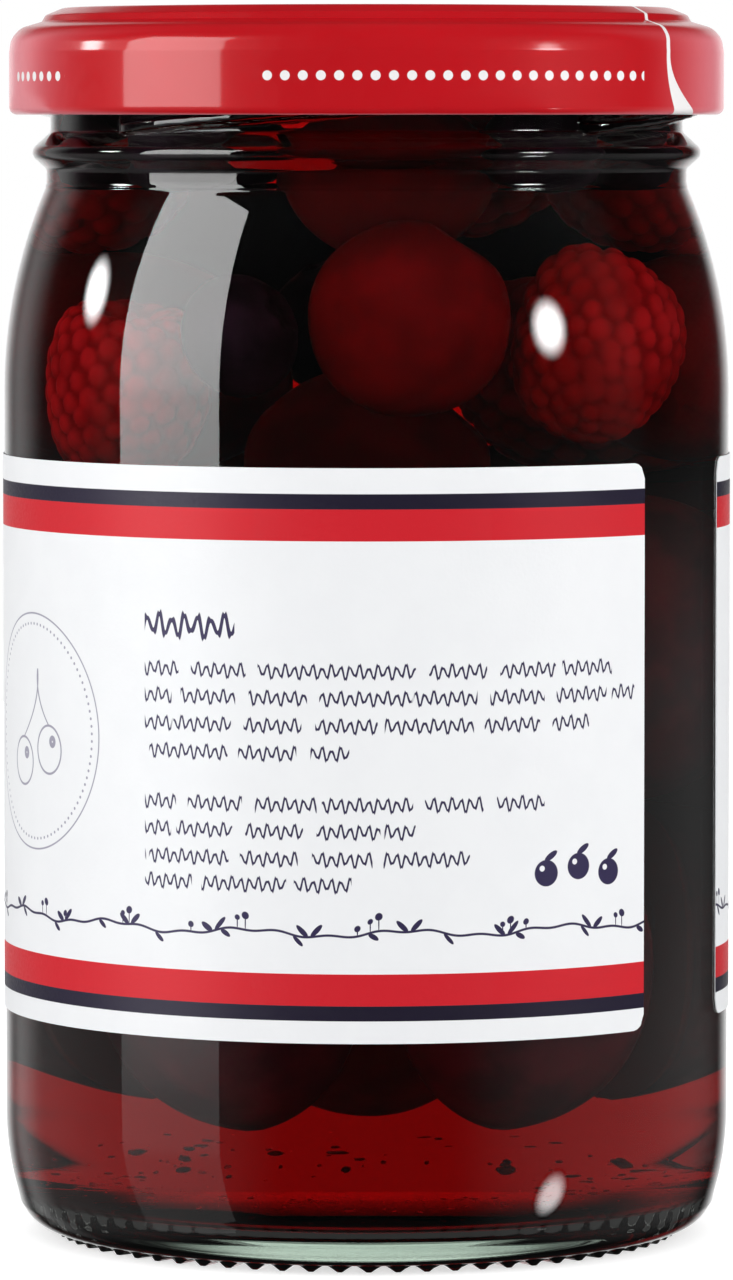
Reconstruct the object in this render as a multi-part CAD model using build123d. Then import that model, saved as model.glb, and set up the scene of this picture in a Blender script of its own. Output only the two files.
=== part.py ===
"""A glass preserve jar of fruit in rum, closed with a four-lug twist-off lid.

The jar stands on the XY plane with its axis on Z, and the front faces -Y. All sizes are in millimetres.
Angles about the axis are in degrees from the front, counted towards +X.

The glass is one pressed and blown piece: a knurled bearing ring round a domed base, a rounded heel, a plain
wall, a long shoulder, a transfer bead and a neck finish with four interrupted threads. The lid is one pressed
plate with a raised sealing channel, a curled hem and four lugs turned in from the hem, and it carries a ring
of sealing compound. The lugs sit under the threads and both follow one helix, so the lid rises as it turns.
The fruit floats in the syrup: a layer of berries and a cherry under the lid, a ring of cherries and berries
below them, then layers of halved plums with cherries down the middle.
"""

from build123d import *
import os
from math import acos, cos, degrees, hypot, pi, radians, sin, sqrt

# Glass body
jar_height = 118.2
body_radius = 35.25
wall = 2.3
shoulder_arc_radius = 50.0
seam_drop = 16.1  # from the rim down to the mould seam at the foot of the neck
neck_inset = 4.15  # an inset is taken off the body's radius
finish_inset = 4.55  # of the plain wall that the threads stand on
mouth_inset = 6.65

# Base and heel
bearing_inner_inset = 7.35
bearing_outer_inset = 4.95
knurl_height = 0.6
knurl_width = 1.5
knurl_flat_width = 0.8
knurl_pitch = 2.65
knurl_embed = 0.5  # how far a bar runs up into the glass
push_up_rim_inset = 8.85
push_up_rim_height = 1.9
push_up = 3.0
heel_seam_inset = 1.4
heel_seam_height = 3.2
heel_bulge = 0.7
lower_wall_height = 12.0  # above this the wall is a plain cylinder
inner_corner_radius = 5.5
inner_corner_height = 3.6
floor_dome_height = 2.1

# Bead and rim, a drop being taken off the rim's height
bead_low_drop = 14.5
bead_crest_drop = 12.9
bead_top_drop = 10.9
bead_inset = 2.35
bead_rounding = 0.9
neck_rounding = 0.6
rim_outer_rounding = 1.2
rim_inner_rounding = 0.9

# Threads on the glass
lead = 16.0  # rise in one full turn
thread_count = 4
thread_depth = 1.9
thread_root_width = 1.9
thread_under_flank = 0.3
thread_upper_flank = 0.75
thread_embed = 0.4
thread_front_drop = 9.2  # underside of a thread's root, where its helix crosses the front
thread_start_angle = -49.0
thread_span = 112.0
thread_run_out = 11.0  # degrees in which each end grows to its full depth
thread_end_share = 0.15
thread_stations = 15

# Lid plate, its insets taken off the skirt's radius and its drops off the lid's top
plate = 0.22
lid_rise = 1.08  # of the lid's top above the rim
lid_overlap = 9.25  # of the skirt below the rim
lid_inset = 0.55  # of the skirt from the body
panel_drop = 0.9
panel_inset = 10.1
panel_step_inset = 8.2
ring_flat_inset = 5.3
ring_edge_inset = 3.5
ring_edge_drop = 0.7
groove_inset = 3.25
groove_drop = 1.33
shoulder_inset = 1.1
shoulder_drop = 1.93
skirt_corner_inset = 0.2
skirt_corner_drop = 2.9
skirt_drop = 4.3
panel_rounding = 1.2
ring_rounding = 1.5
groove_rounding = 0.35
shoulder_rounding = 1.7
curl_radius = 0.75
curl_rise = 0.5

# Lugs
lug_angle = 18.0
lug_half_angle = 8.0
lug_reach_inset = 3.25
lug_gap = 0.05  # lug to thread
lug_rounding = 0.15
lug_end_share = 0.97
lug_stations = 9

# Sealing compound
seal_gap = 0.05  # to the plate and to the glass
seal_inner_reach = 1.1  # inwards past the mouth
seal_outer_inset = 0.3  # from the finish's outside
seal_rounding = 0.12

# Paper label
paper = 0.1
glue = 0.05
label_bottom = 22.26
label_top_drop = 42.07  # from the rim
label_right_end_angle = 48.0
label_left_end_angle = 72.1
label_corner_radius = 1.5

# Syrup and how the fruit lies in it
fill_drop = 6.8  # from the rim
fruit_gap = 0.3  # fruit to glass, and fruit to fruit
float_depth = 0.3

# Fruit
cherry_width = 17.8
cherry_dimple_radius = 3.2
cherry_dimple_depth = 1.2
cherry_dimple_rounding = 0.8
raspberry_width = 16.4
raspberry_length = 19.0
raspberry_tip_radius = 5.2
raspberry_tip_angle = 20.0  # below level, where the round tip meets the side
raspberry_side_bulge = 0.65
raspberry_shoulder_radius = 4.2
raspberry_core_width = 5.6
raspberry_core_depth = 9.0
blueberry_width = 11.6
blueberry_length = 10.2
blueberry_crown_width = 4.2
blueberry_crown_depth = 0.9
plum_width = 26.0
plum_length = 30.0
end_share = 0.82  # height of the outline's handles, as a share of half the length of a plum or stone
handle_share = 0.75  # how far a cubic curve reaches towards its two handles
stone_width = 9.0
stone_length = 19.0

# Which fruit lies where. A ring is laid from its first angle on, each fruit against the one before, and lists
# the kind, how far it lies above the ring's level and how far it tucks in under the one before, both as a
# share of its width, and its tilt in degrees
front_ring_angle = -59.5
front_ring_shares = (
    ("raspberry", 0.0, 0.0, 8),
    ("blueberry", 0.48, 0.0, 60),
    ("cherry", 0.39, 0.0, 35),
    ("raspberry", 0.2, 0.21, 35),
    ("cherry", 0.1, 0.0, 70),
    ("raspberry", 0.0, 0.0, 9),
    ("blueberry", 0.3, 0.0, 15),
    ("cherry", 0.0, 0.0, -40),
    ("raspberry", 0.0, 0.0, -5),
)
leaning_tilt = 15.0  # of the cherry that leans over the first one, up at the fill line
top_ring_shares = (
    ("blueberry", 0.0, 0.0, 25),
    ("blueberry", 0.0, 0.0, -50),
    ("raspberry", 0.0, 0.0, 6),
    ("raspberry", 0.0, 0.0, -5),
    ("blueberry", 0.0, 0.0, 70),
    ("raspberry", 0.0, 0.0, 4),
    ("blueberry", 0.0, 0.0, 35),
    ("blueberry", 0.0, 0.0, -20),
)
plum_angles = (0.0, 90.0, 184.0, 289.0)
plum_layer_turn = 38.0
plum_tilts = (6.0, -5.0, 4.0, -7.0)
middle_tilt = 50.0

overrun = 1.0  # how far a cutting shape runs past what it cuts

# Worked out from the sizes above
neck_radius = body_radius - neck_inset
finish_radius = body_radius - finish_inset
mouth_radius = body_radius - mouth_inset
thread_radius = finish_radius + thread_depth
bead_radius = body_radius - bead_inset
bearing_inner_radius = body_radius - bearing_inner_inset
bearing_outer_radius = body_radius - bearing_outer_inset
push_up_rim_radius = body_radius - push_up_rim_inset
heel_seam_radius = body_radius - heel_seam_inset
seam_height = jar_height - seam_drop
bead_low = jar_height - bead_low_drop
bead_crest_height = jar_height - bead_crest_drop
bead_top = jar_height - bead_top_drop
thread_front_height = jar_height - thread_front_drop
lid_top = jar_height + lid_rise
lid_bottom = jar_height - lid_overlap
lid_radius = body_radius - lid_inset
ring_flat_radius = lid_radius - ring_flat_inset
ring_edge_radius = lid_radius - ring_edge_inset
lug_reach_radius = lid_radius - lug_reach_inset
seal_inner_radius = mouth_radius - seal_inner_reach
seal_outer_radius = finish_radius - seal_outer_inset
label_height = jar_height - label_top_drop - label_bottom
fill_height = jar_height - fill_drop
inner_radius = body_radius - wall
diagonal = sqrt(1 / 2)  # sine and cosine of half a right angle
shoulder_height = seam_height - sqrt(shoulder_arc_radius**2 - (shoulder_arc_radius - neck_inset) ** 2)
shoulder_rise = seam_height - shoulder_height
inner_step = inner_radius - mouth_radius
inner_arc_radius = (inner_step**2 + shoulder_rise**2) / (2 * inner_step)
inner_corner_end = inner_radius - inner_corner_radius
floor_height = inner_corner_height + floor_dome_height
ring_underside = lid_top - plate
label_radius = body_radius + glue


def direction(angle):
    """The angle about Z, from +X, of a direction given from the front towards +X."""
    return angle - 90.0


def upright_face(*lines):
    """A face from a closed outline that is drawn in X and Z."""
    return make_face([Plane.XZ * line for line in lines])


def bulged_arc(start, end, bulge):
    """An arc from start to end whose middle stands out by bulge to the right of the straight line."""
    across = end[0] - start[0]
    along = end[1] - start[1]
    length = hypot(across, along)
    middle = (
        (start[0] + end[0]) / 2 + bulge * along / length,
        (start[1] + end[1]) / 2 - bulge * across / length,
    )
    return ThreePointArc(start, middle, end)


def dome_arc(rim_radius, rim_height, rise):
    """Half of a shallow dome, from its rim to its top on the axis, level at the top."""
    radius = (rim_radius**2 + rise**2) / (2 * rise)
    half_radius = rim_radius / 2
    half_height = rim_height + rise - radius + sqrt(radius**2 - half_radius**2)
    return ThreePointArc((rim_radius, rim_height), (half_radius, half_height), (0, rim_height + rise))


def shoulder_arc(foot_radius, arc_radius):
    """The arc of the shoulder, inside or out, from its foot on the wall up to the neck's seam."""
    top_radius = foot_radius - arc_radius + sqrt(arc_radius**2 - shoulder_rise**2)
    half_rise = shoulder_rise / 2
    half_radius = foot_radius - arc_radius + sqrt(arc_radius**2 - half_rise**2)
    return ThreePointArc(
        (foot_radius, shoulder_height),
        (half_radius, shoulder_height + half_rise),
        (top_radius, seam_height),
    )


def cavity_lines():
    """The inside of the glass, from the foot of the neck down to the middle of the floor."""
    corner_middle = (
        inner_corner_end + inner_corner_radius * diagonal,
        inner_corner_height + inner_corner_radius * (1 - diagonal),
    )
    wall_foot = (inner_radius, inner_corner_height + inner_corner_radius)
    return [
        shoulder_arc(inner_radius, inner_arc_radius),
        Line((inner_radius, shoulder_height), wall_foot),
        ThreePointArc(wall_foot, corner_middle, (inner_corner_end, inner_corner_height)),
        dome_arc(inner_corner_end, inner_corner_height, floor_dome_height),
    ]


def cavity_radius(height):
    """The radius of the jar's inside at a height above its rounded corner."""
    if height <= shoulder_height:
        return inner_radius
    if height >= seam_height:
        return mouth_radius
    return inner_radius - inner_arc_radius + sqrt(inner_arc_radius**2 - (height - shoulder_height) ** 2)


def glass_blank():
    """The glass without threads and knurls, turned about the axis."""
    ring_outer = (bearing_outer_radius, knurl_height)
    heel_seam = (heel_seam_radius, heel_seam_height)
    wall_foot = (body_radius, lower_wall_height)
    finish = FilletPolyline(
        (neck_radius, seam_height),
        (neck_radius, bead_low),
        (bead_radius, bead_crest_height),
        (finish_radius, bead_top),
        (finish_radius, jar_height),
        (mouth_radius, jar_height),
        (mouth_radius, seam_height),
        radius=[neck_rounding, bead_rounding, neck_rounding, rim_outer_rounding, rim_inner_rounding],
    )
    return revolve(
        upright_face(
            Line((0, push_up), (0, floor_height)),
            *cavity_lines(),
            finish,
            shoulder_arc(body_radius, shoulder_arc_radius),
            Line((body_radius, shoulder_height), wall_foot),
            TangentArc(wall_foot, heel_seam, tangent=(0, -1)),
            bulged_arc(ring_outer, heel_seam, heel_bulge),
            Line((bearing_inner_radius, knurl_height), ring_outer),
            Line((bearing_inner_radius, knurl_height), (push_up_rim_radius, push_up_rim_height)),
            dome_arc(push_up_rim_radius, push_up_rim_height, push_up - push_up_rim_height),
        )
    )


def knurls():
    """The short bars that the jar stands on, spread round the bearing ring."""
    middle_radius = (bearing_inner_radius + bearing_outer_radius) / 2
    count = round(2 * pi * middle_radius / knurl_pitch)
    bar = extrude(
        make_face(
            Plane.YZ
            * Polyline(
                (-knurl_flat_width / 2, 0),
                (knurl_flat_width / 2, 0),
                (knurl_width / 2, knurl_height),
                (knurl_width / 2, knurl_height + knurl_embed),
                (-knurl_width / 2, knurl_height + knurl_embed),
                (-knurl_width / 2, knurl_height),
                close=True,
            )
        ),
        amount=bearing_outer_radius - bearing_inner_radius,
        dir=(1, 0, 0),
    )
    return [place * bar for place in PolarLocations(bearing_inner_radius, count)]


def thread_underside(angle):
    """The height of the thread helix's underside at the root, at an angle from the front."""
    return thread_front_height + lead * angle / 360


def radial_face(angle, points):
    """A face with corners given as radius and height, in the upright plane through the axis at an angle."""
    outline = Polyline(*[(radius, 0, height) for radius, height in points], close=True)
    return Rot(0, 0, direction(angle)) * make_face(outline)


def thread():
    """One thread ridge, which runs out at both ends."""
    sections = []
    for station in range(thread_stations):
        along_share = station / (thread_stations - 1)
        angle = thread_start_angle + thread_span * along_share
        from_end = thread_span * min(along_share, 1 - along_share)
        grown_share = min(1, thread_end_share + (1 - thread_end_share) * from_end / thread_run_out)
        underside = thread_underside(angle)
        crest_radius = finish_radius + (thread_radius - finish_radius) * grown_share
        points = (
            (finish_radius - thread_embed, underside),
            (finish_radius, underside),
            (crest_radius, underside + thread_under_flank),
            (crest_radius, underside + thread_root_width - thread_upper_flank),
            (finish_radius, underside + thread_root_width),
            (finish_radius - thread_embed, underside + thread_root_width),
        )
        sections.append(radial_face(angle, points))
    return loft(sections)


def glass_jar():
    """The whole jar in one piece of glass."""
    threads = [Rot(0, 0, 360 / thread_count * number) * thread() for number in range(thread_count)]
    return glass_blank() + threads + knurls()


def lid_plate():
    """The pressed plate: panel, sealing channel, shoulder, skirt and rolled hem."""
    curl_inner = lid_radius - 2 * curl_radius
    face_line = FilletPolyline(
        (0, lid_top - panel_drop),
        (lid_radius - panel_inset, lid_top - panel_drop),
        (lid_radius - panel_step_inset, lid_top),
        (ring_flat_radius, lid_top),
        (ring_edge_radius, lid_top - ring_edge_drop),
        (lid_radius - groove_inset, lid_top - groove_drop),
        (lid_radius - shoulder_inset, lid_top - shoulder_drop),
        (lid_radius - skirt_corner_inset, lid_top - skirt_corner_drop),
        (lid_radius, lid_top - skirt_drop),
        (lid_radius, lid_bottom + curl_radius),
        radius=[
            panel_rounding,
            panel_rounding,
            ring_rounding,
            groove_rounding,
            groove_rounding,
            shoulder_rounding,
            shoulder_rounding,
            shoulder_rounding,
        ],
    )
    hem_line = ThreePointArc(
        (lid_radius, lid_bottom + curl_radius),
        (lid_radius - curl_radius, lid_bottom),
        (curl_inner, lid_bottom + curl_radius),
    )
    end_line = Line(
        (curl_inner, lid_bottom + curl_radius),
        (curl_inner, lid_bottom + curl_radius + curl_rise),
    )
    outside = Wire([*face_line.edges(), hem_line.edge(), end_line.edge()])
    band = offset(outside, amount=plate, side=Side.RIGHT, closed=True)
    return revolve(Plane.XZ * make_face(band))


def lug():
    """One lug, turned in from the hem, its top parallel to the thread above it."""
    hem_radius = lid_radius - curl_radius
    hem_inner_radius = lid_radius - 2 * curl_radius + plate
    sections = []
    for station in range(lug_stations):
        along_share = 2 * station / (lug_stations - 1) - 1
        angle = lug_angle + lug_half_angle * along_share
        reach_share = sqrt(1 - (lug_end_share * along_share) ** 2)
        tip_radius = hem_inner_radius - (hem_inner_radius - lug_reach_radius) * reach_share
        top = thread_underside(angle) - lug_gap
        points = (
            (hem_radius, lid_bottom + lug_rounding),
            (tip_radius + lug_rounding, lid_bottom),
            (tip_radius, lid_bottom + lug_rounding),
            (tip_radius, top - lug_rounding),
            (tip_radius + lug_rounding, top),
            (hem_radius, top),
        )
        sections.append(radial_face(angle, points))
    return loft(sections)


def lid_shell():
    """The lid's metal in one piece."""
    return lid_plate() + [Rot(0, 0, 360 / thread_count * number) * lug() for number in range(thread_count)]


def sealing_ring():
    """The ring of compound between the lid's channel and the rim of the glass."""
    low = jar_height + seal_gap
    high = ring_underside - seal_gap
    slope = ring_edge_drop / (ring_edge_radius - ring_flat_radius)
    sloped_thickness = (plate + seal_gap) * hypot(1, slope)
    corner_radius = ring_flat_radius + (lid_top - sloped_thickness - high) / slope
    edge_high = high - slope * (seal_outer_radius - corner_radius)
    outline = FilletPolyline(
        (seal_inner_radius, low),
        (seal_outer_radius, low),
        (seal_outer_radius, edge_high),
        (corner_radius, high),
        (seal_inner_radius, high),
        radius=seal_rounding,
        close=True,
    )
    return revolve(upright_face(outline))


def label():
    """The wrapped paper label, with the gap between its two ends."""
    middle_height = label_bottom + label_height / 2
    sleeve = Cylinder(label_radius + paper, label_height) - Cylinder(label_radius, label_height)
    gap_angle = (label_right_end_angle + label_left_end_angle) / 2
    half_gap = radians(label_left_end_angle - label_right_end_angle) / 2
    gap_width = 2 * label_radius * sin(half_gap)
    opening = Rectangle(gap_width, label_height + 2 * overrun)
    corner_place_x = gap_width / 2 + label_corner_radius / 2
    corner_place_y = label_height / 2 - label_corner_radius / 2
    for side_x in (-1, 1):
        for side_y in (-1, 1):
            square = Pos(side_x * corner_place_x, side_y * corner_place_y) * Rectangle(
                label_corner_radius, label_corner_radius
            )
            round_place_x = gap_width / 2 + label_corner_radius
            round_place_y = label_height / 2 - label_corner_radius
            circle = Pos(side_x * round_place_x, side_y * round_place_y) * Circle(label_corner_radius)
            opening += square - circle
    cutter = extrude(Plane.XZ * opening, amount=label_radius + paper + overrun)
    return Pos(0, 0, middle_height) * (sleeve - Rot(0, 0, gap_angle) * cutter)


def cherry():
    """A cherry with the dimple of its stem on top."""
    radius = cherry_width / 2
    ball_radius = (cherry_dimple_radius**2 + cherry_dimple_depth**2) / (2 * cherry_dimple_depth)
    edge_height = sqrt(radius**2 - cherry_dimple_radius**2)
    whole = Sphere(radius) - Pos(0, 0, edge_height - cherry_dimple_depth + ball_radius) * Sphere(ball_radius)
    return fillet(whole.edges().filter_by(GeomType.CIRCLE), cherry_dimple_rounding)


def tip_point(angle, middle):
    """A point on the round tip of a raspberry, at an angle below level, seen from the tip's middle."""
    across = raspberry_tip_radius * cos(radians(angle))
    return across, -middle - raspberry_tip_radius * sin(radians(angle))


def raspberry():
    """A raspberry standing on its tip, hollow where it was pulled off its core."""
    half_length = raspberry_length / 2
    half_width = raspberry_width / 2
    tip_middle = half_length - raspberry_tip_radius
    shoulder_middle = half_length - raspberry_shoulder_radius
    tip_edge = tip_point(raspberry_tip_angle, tip_middle)
    tip_between = tip_point((90 + raspberry_tip_angle) / 2, tip_middle)
    flat_radius = half_width - raspberry_shoulder_radius
    core_radius = raspberry_core_width / 2
    core_floor = half_length - raspberry_core_depth
    outline = [
        ThreePointArc((0, -half_length), tip_between, tip_edge),
        bulged_arc(tip_edge, (half_width, shoulder_middle), raspberry_side_bulge),
        ThreePointArc(
            (half_width, shoulder_middle),
            (
                flat_radius + raspberry_shoulder_radius * diagonal,
                shoulder_middle + raspberry_shoulder_radius * diagonal,
            ),
            (flat_radius, half_length),
        ),
        Line((flat_radius, half_length), (core_radius, half_length)),
        Line((core_radius, half_length), (core_radius, core_floor + core_radius)),
        ThreePointArc(
            (core_radius, core_floor + core_radius),
            (core_radius * diagonal, core_floor + core_radius * (1 - diagonal)),
            (0, core_floor),
        ),
        Line((0, core_floor), (0, -half_length)),
    ]
    return revolve(upright_face(*outline))


def blueberry():
    """A blueberry with its crown cup on top."""
    half_width = blueberry_width / 2
    half_length = blueberry_length / 2
    crown_radius = blueberry_crown_width / 2
    flat_radius = half_width - half_length
    edge_height = sqrt(half_length**2 - (crown_radius - flat_radius) ** 2)
    cup_height = edge_height - blueberry_crown_depth
    outline = [
        Line((0, -half_length), (flat_radius, -half_length)),
        ThreePointArc((flat_radius, -half_length), (half_width, 0), (crown_radius, edge_height)),
        Polyline((crown_radius, edge_height), (crown_radius, cup_height), (0, cup_height), (0, -half_length)),
    ]
    return revolve(upright_face(*outline))


def pointed_outline(width, length):
    """The outline of a plum or its stone, from its lower end to its upper, slightly pointed at both."""
    half_length = length / 2
    full_height = end_share * half_length
    full_radius = width / 2 / handle_share
    handles = ((full_radius, -full_height), (full_radius, full_height))
    return Bezier((0, -half_length), *handles, (0, half_length))


def plum_half():
    """A halved plum, its back towards -Y, with the hollow of the stone in the cut."""
    stone_end = stone_length / 2
    plum_end = plum_length / 2
    slice_face = upright_face(
        pointed_outline(plum_width, plum_length),
        Line((0, plum_end), (0, stone_end)),
        pointed_outline(stone_width, stone_length),
        Line((0, -stone_end), (0, -plum_end)),
    )
    return Rot(0, 0, 180) * revolve(slice_face, Axis.Z, revolution_arc=180)


fruit_makers = {"cherry": cherry, "raspberry": raspberry, "blueberry": blueberry, "plum_half": plum_half}
fruit_widths = {"cherry": cherry_width, "raspberry": raspberry_width, "blueberry": blueberry_width}
fruit_lengths = {"cherry": cherry_width, "raspberry": raspberry_length, "blueberry": blueberry_width}
# How far up its half width each fruit touches the wall
contact_shares = {"cherry": 0.3, "raspberry": 0.8, "blueberry": 0.3}


class FruitBowl:
    """Collects the fruit by name, numbered by kind."""

    def __init__(self):
        self.pieces = {}
        self.places = {}
        self.counts = {}

    def add(self, kind, angle, radius, height, tilt):
        """Puts one fruit at an angle, radius and height, tilted about the direction that it faces."""
        self.counts[kind] = self.counts.get(kind, 0) + 1
        name = f"{kind}_{self.counts[kind]}"
        self.places[name] = (angle, radius, height)
        place = Rot(0, 0, angle) * Pos(0, -radius, height) * Rot(0, tilt, 0)
        self.pieces[name] = place * fruit_makers[kind]()


def wall_place(kind, height, tilt):
    """The radius at which a round fruit nearly touches the glass, and its half width as it leans."""
    half = fruit_widths[kind] / 2
    radius = cavity_radius(height + contact_shares[kind] * half) - half - fruit_gap
    if kind == "raspberry":
        lean = radians(abs(tilt))
        flat = half - raspberry_shoulder_radius
        rise = raspberry_length / 2 - raspberry_shoulder_radius
        half = raspberry_shoulder_radius + flat * cos(lean) + rise * sin(lean)
    return radius, half


def turn_between(first, second):
    """The angle at the axis between two fruits side by side, each given as its radius and half width."""
    apart = first[1] + second[1] + fruit_gap
    cosine = (first[0] ** 2 + second[0] ** 2 - apart**2) / (2 * first[0] * second[0])
    return degrees(acos(cosine))


def lay_ring(bowl, ring, first_angle, level_of, first=None):
    """Lays fruit against the glass, each against the one before, as far round as there is room."""
    angle = first_angle
    before = first
    for kind, rise_share, tuck_share, tilt in ring:
        height = level_of(kind) + rise_share * fruit_widths[kind]
        place = wall_place(kind, height, tilt)
        if before is None:
            first = place
        else:
            angle += turn_between(before, (place[0], place[1] - tuck_share * fruit_widths[kind]))
            if angle + turn_between(place, first) > first_angle + 360:
                break
        bowl.add(kind, angle, place[0], height, tilt)
        before = place


def fill_with_fruit():
    """All the fruit, laid from the top of the syrup down."""
    bowl = FruitBowl()
    float_height = fill_height - float_depth
    ring_height = float_height - raspberry_length - fruit_gap - raspberry_length / 2
    lay_ring(bowl, front_ring_shares, front_ring_angle, lambda kind: ring_height)

    cherry_angle, cherry_radius, cherry_height = bowl.places["cherry_1"]
    leaning_height = float_height - cherry_width / 2
    leaning_rise = leaning_height - cherry_height
    leaning_back = sqrt((cherry_width + fruit_gap) ** 2 - leaning_rise**2)
    leaning_place = (cherry_radius - leaning_back, cherry_width / 2)
    bowl.add("cherry", cherry_angle, leaning_place[0], leaning_height, leaning_tilt)
    lay_ring(
        bowl,
        top_ring_shares,
        cherry_angle,
        lambda kind: float_height - fruit_lengths[kind] / 2,
        leaning_place,
    )

    plum_top = ring_height - raspberry_length / 2 - fruit_gap
    plum_radius = inner_radius - fruit_gap - plum_width / 2
    layer = 0
    while plum_top - plum_length > floor_height + fruit_gap:
        for plum_angle, plum_tilt in zip(plum_angles, plum_tilts):
            angle = plum_angle + plum_layer_turn * layer
            bowl.add("plum_half", angle, plum_radius, plum_top - plum_length / 2, plum_tilt)
        plum_top -= plum_length + fruit_gap
        layer += 1
    middle_height = plum_top + fruit_gap + cherry_width / 2
    while middle_height < ring_height:
        bowl.add("cherry", 0, 0, middle_height, middle_tilt)
        middle_height += cherry_width + fruit_gap
    return bowl


def syrup(fruit):
    """The liquid round the fruit, up to the fill line."""
    whole = revolve(
        upright_face(
            Line((0, floor_height), (0, fill_height)),
            Line((0, fill_height), (mouth_radius, fill_height)),
            Line((mouth_radius, fill_height), (mouth_radius, seam_height)),
            *cavity_lines(),
        )
    )
    return whole - list(fruit)


os.makedirs("parts", exist_ok=True)
bowl = fill_with_fruit()
pieces = {
    "glass_jar": glass_jar(),
    "lid_shell": lid_shell(),
    "sealing_ring": sealing_ring(),
    "label": label(),
    "syrup": syrup(bowl.pieces.values()),
    **bowl.pieces,
}
for name, shape in pieces.items():
    export_step(shape, f"parts/{name}.step")
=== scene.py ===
"""Dresses the preserve jar of fruit in rum: glass, lid, label, syrup and fruit, in a plain white studio.

Sizes are in millimetres and are turned into metres where a mesh is made. Angles are counted in degrees from
the front of the jar (-Y) towards +X, and heights from the plane that the jar stands on.
"""

from __future__ import annotations

import logging
from dataclasses import dataclass, field
from enum import Enum

import bpy
import numpy as np
from mathutils import Matrix, Vector

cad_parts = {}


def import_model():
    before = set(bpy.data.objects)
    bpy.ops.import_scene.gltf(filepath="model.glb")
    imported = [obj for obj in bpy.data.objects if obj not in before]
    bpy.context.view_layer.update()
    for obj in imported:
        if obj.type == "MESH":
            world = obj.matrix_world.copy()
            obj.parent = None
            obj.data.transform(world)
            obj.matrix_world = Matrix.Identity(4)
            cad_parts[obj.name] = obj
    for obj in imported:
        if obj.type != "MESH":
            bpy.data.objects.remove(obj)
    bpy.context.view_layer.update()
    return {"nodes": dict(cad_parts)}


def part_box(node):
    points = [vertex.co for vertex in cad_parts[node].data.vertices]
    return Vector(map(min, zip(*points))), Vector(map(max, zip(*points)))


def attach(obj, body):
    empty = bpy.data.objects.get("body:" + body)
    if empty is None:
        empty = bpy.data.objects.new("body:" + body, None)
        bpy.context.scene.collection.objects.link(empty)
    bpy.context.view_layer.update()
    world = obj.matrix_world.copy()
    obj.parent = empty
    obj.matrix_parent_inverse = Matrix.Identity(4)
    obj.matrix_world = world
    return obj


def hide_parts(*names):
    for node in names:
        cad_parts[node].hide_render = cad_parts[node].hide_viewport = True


log = logging.getLogger("preserve_jar")

MM = 0.001
UV_NAME = "Print"
GOLDEN_ANGLE = np.pi * (3 - np.sqrt(5))

Colour = tuple[float, float, float, float]
Place = tuple[float, float, float]
Span = tuple[float, float]
Socket = bpy.types.NodeSocket

WHITE: Colour = (1.0, 1.0, 1.0, 1.0)
BLACK: Colour = (0.0, 0.0, 0.0, 1.0)


class Body(Enum):
    """The moving bodies that pieces ride on."""

    JAR = "jar"
    SEALING_RING = "sealing_ring"
    LID = "lid_shell"


class FruitKind(Enum):
    """The kinds of fruit in the jar, by the start of their nodes' names."""

    CHERRY = "cherry"
    RASPBERRY = "raspberry"
    BLUEBERRY = "blueberry"
    PLUM_HALF = "plum_half"


def full_turn(count: int) -> np.ndarray:
    """Evenly spaced directions in radians, the first not repeated."""
    return np.linspace(0, 2 * np.pi, count, endpoint=False)


def smooth_step(values: np.ndarray) -> np.ndarray:
    """0 below 0, 1 above 1, and a smooth rise between."""
    inside = np.clip(values, 0, 1)
    return inside * inside * (3 - 2 * inside)


def peak(values: np.ndarray, width: float) -> np.ndarray:
    """A bell that is 1 where values are 0."""
    return np.exp(-((values / width) ** 2))


def arc(centre: Span, radius: float, start: float, end: float, count: int) -> np.ndarray:
    """Points on an arc in the plane of radius and height.

    Args:
        centre: radius and height of the arc's centre.
        radius: of the arc.
        start: first direction in degrees, 0 pointing outwards and 90 up.
        end: last direction.
        count: number of points.

    Returns:
        An array of count rows, each a radius and a height.
    """
    angles = np.radians(np.linspace(start, end, count))
    return np.stack([centre[0] + radius * np.cos(angles), centre[1] + radius * np.sin(angles)], axis=1)


def sagging_arc(start: Span, end: Span, bulge: float, count: int) -> np.ndarray:
    """Points from start to end on a parabola whose middle stands out by bulge, to the right of the way.

    Args:
        start: radius and height of the first point.
        end: radius and height of the last point.
        bulge: how far the middle stands off the straight line.
        count: number of points.

    Returns:
        An array of count rows, each a radius and a height.
    """
    share = np.linspace(0, 1, count)[:, None]
    a, b = np.array(start), np.array(end)
    along = b - a
    right = np.array([along[1], -along[0]]) / np.hypot(*along)
    return a + along * share + right * bulge * 4 * share * (1 - share)


def rounded_path(points: list[Span], radii: list[float], arc_points: int = 9) -> np.ndarray:
    """A line through corners, each corner rounded by an arc that is tangent to both sides.

    Args:
        points: the corners, with the two ends.
        radii: the rounding of each inner corner.
        arc_points: points on each arc.

    Returns:
        The rounded line's points.
    """
    corners = np.array(points, dtype=float)
    rows = [corners[:1]]
    for number, radius in enumerate(radii, start=1):
        here = corners[number]
        back = corners[number - 1] - here
        ahead = corners[number + 1] - here
        back /= np.hypot(*back)
        ahead /= np.hypot(*ahead)
        half = 0.5 * np.arccos(np.clip(back @ ahead, -1, 1))
        reach = radius / np.tan(half)
        bisector = (back + ahead) / np.hypot(*(back + ahead))
        centre = here + bisector * radius / np.sin(half)
        first, last = here + back * reach - centre, here + ahead * reach - centre
        turn = np.arctan2(first[0] * last[1] - first[1] * last[0], first @ last)
        angles = np.linspace(0, turn, arc_points)
        cosines, sines = np.cos(angles)[:, None], np.sin(angles)[:, None]
        rows.append(centre + first * cosines + np.array([-first[1], first[0]]) * sines)
    rows.append(corners[-1:])
    return np.concatenate(rows)


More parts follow.
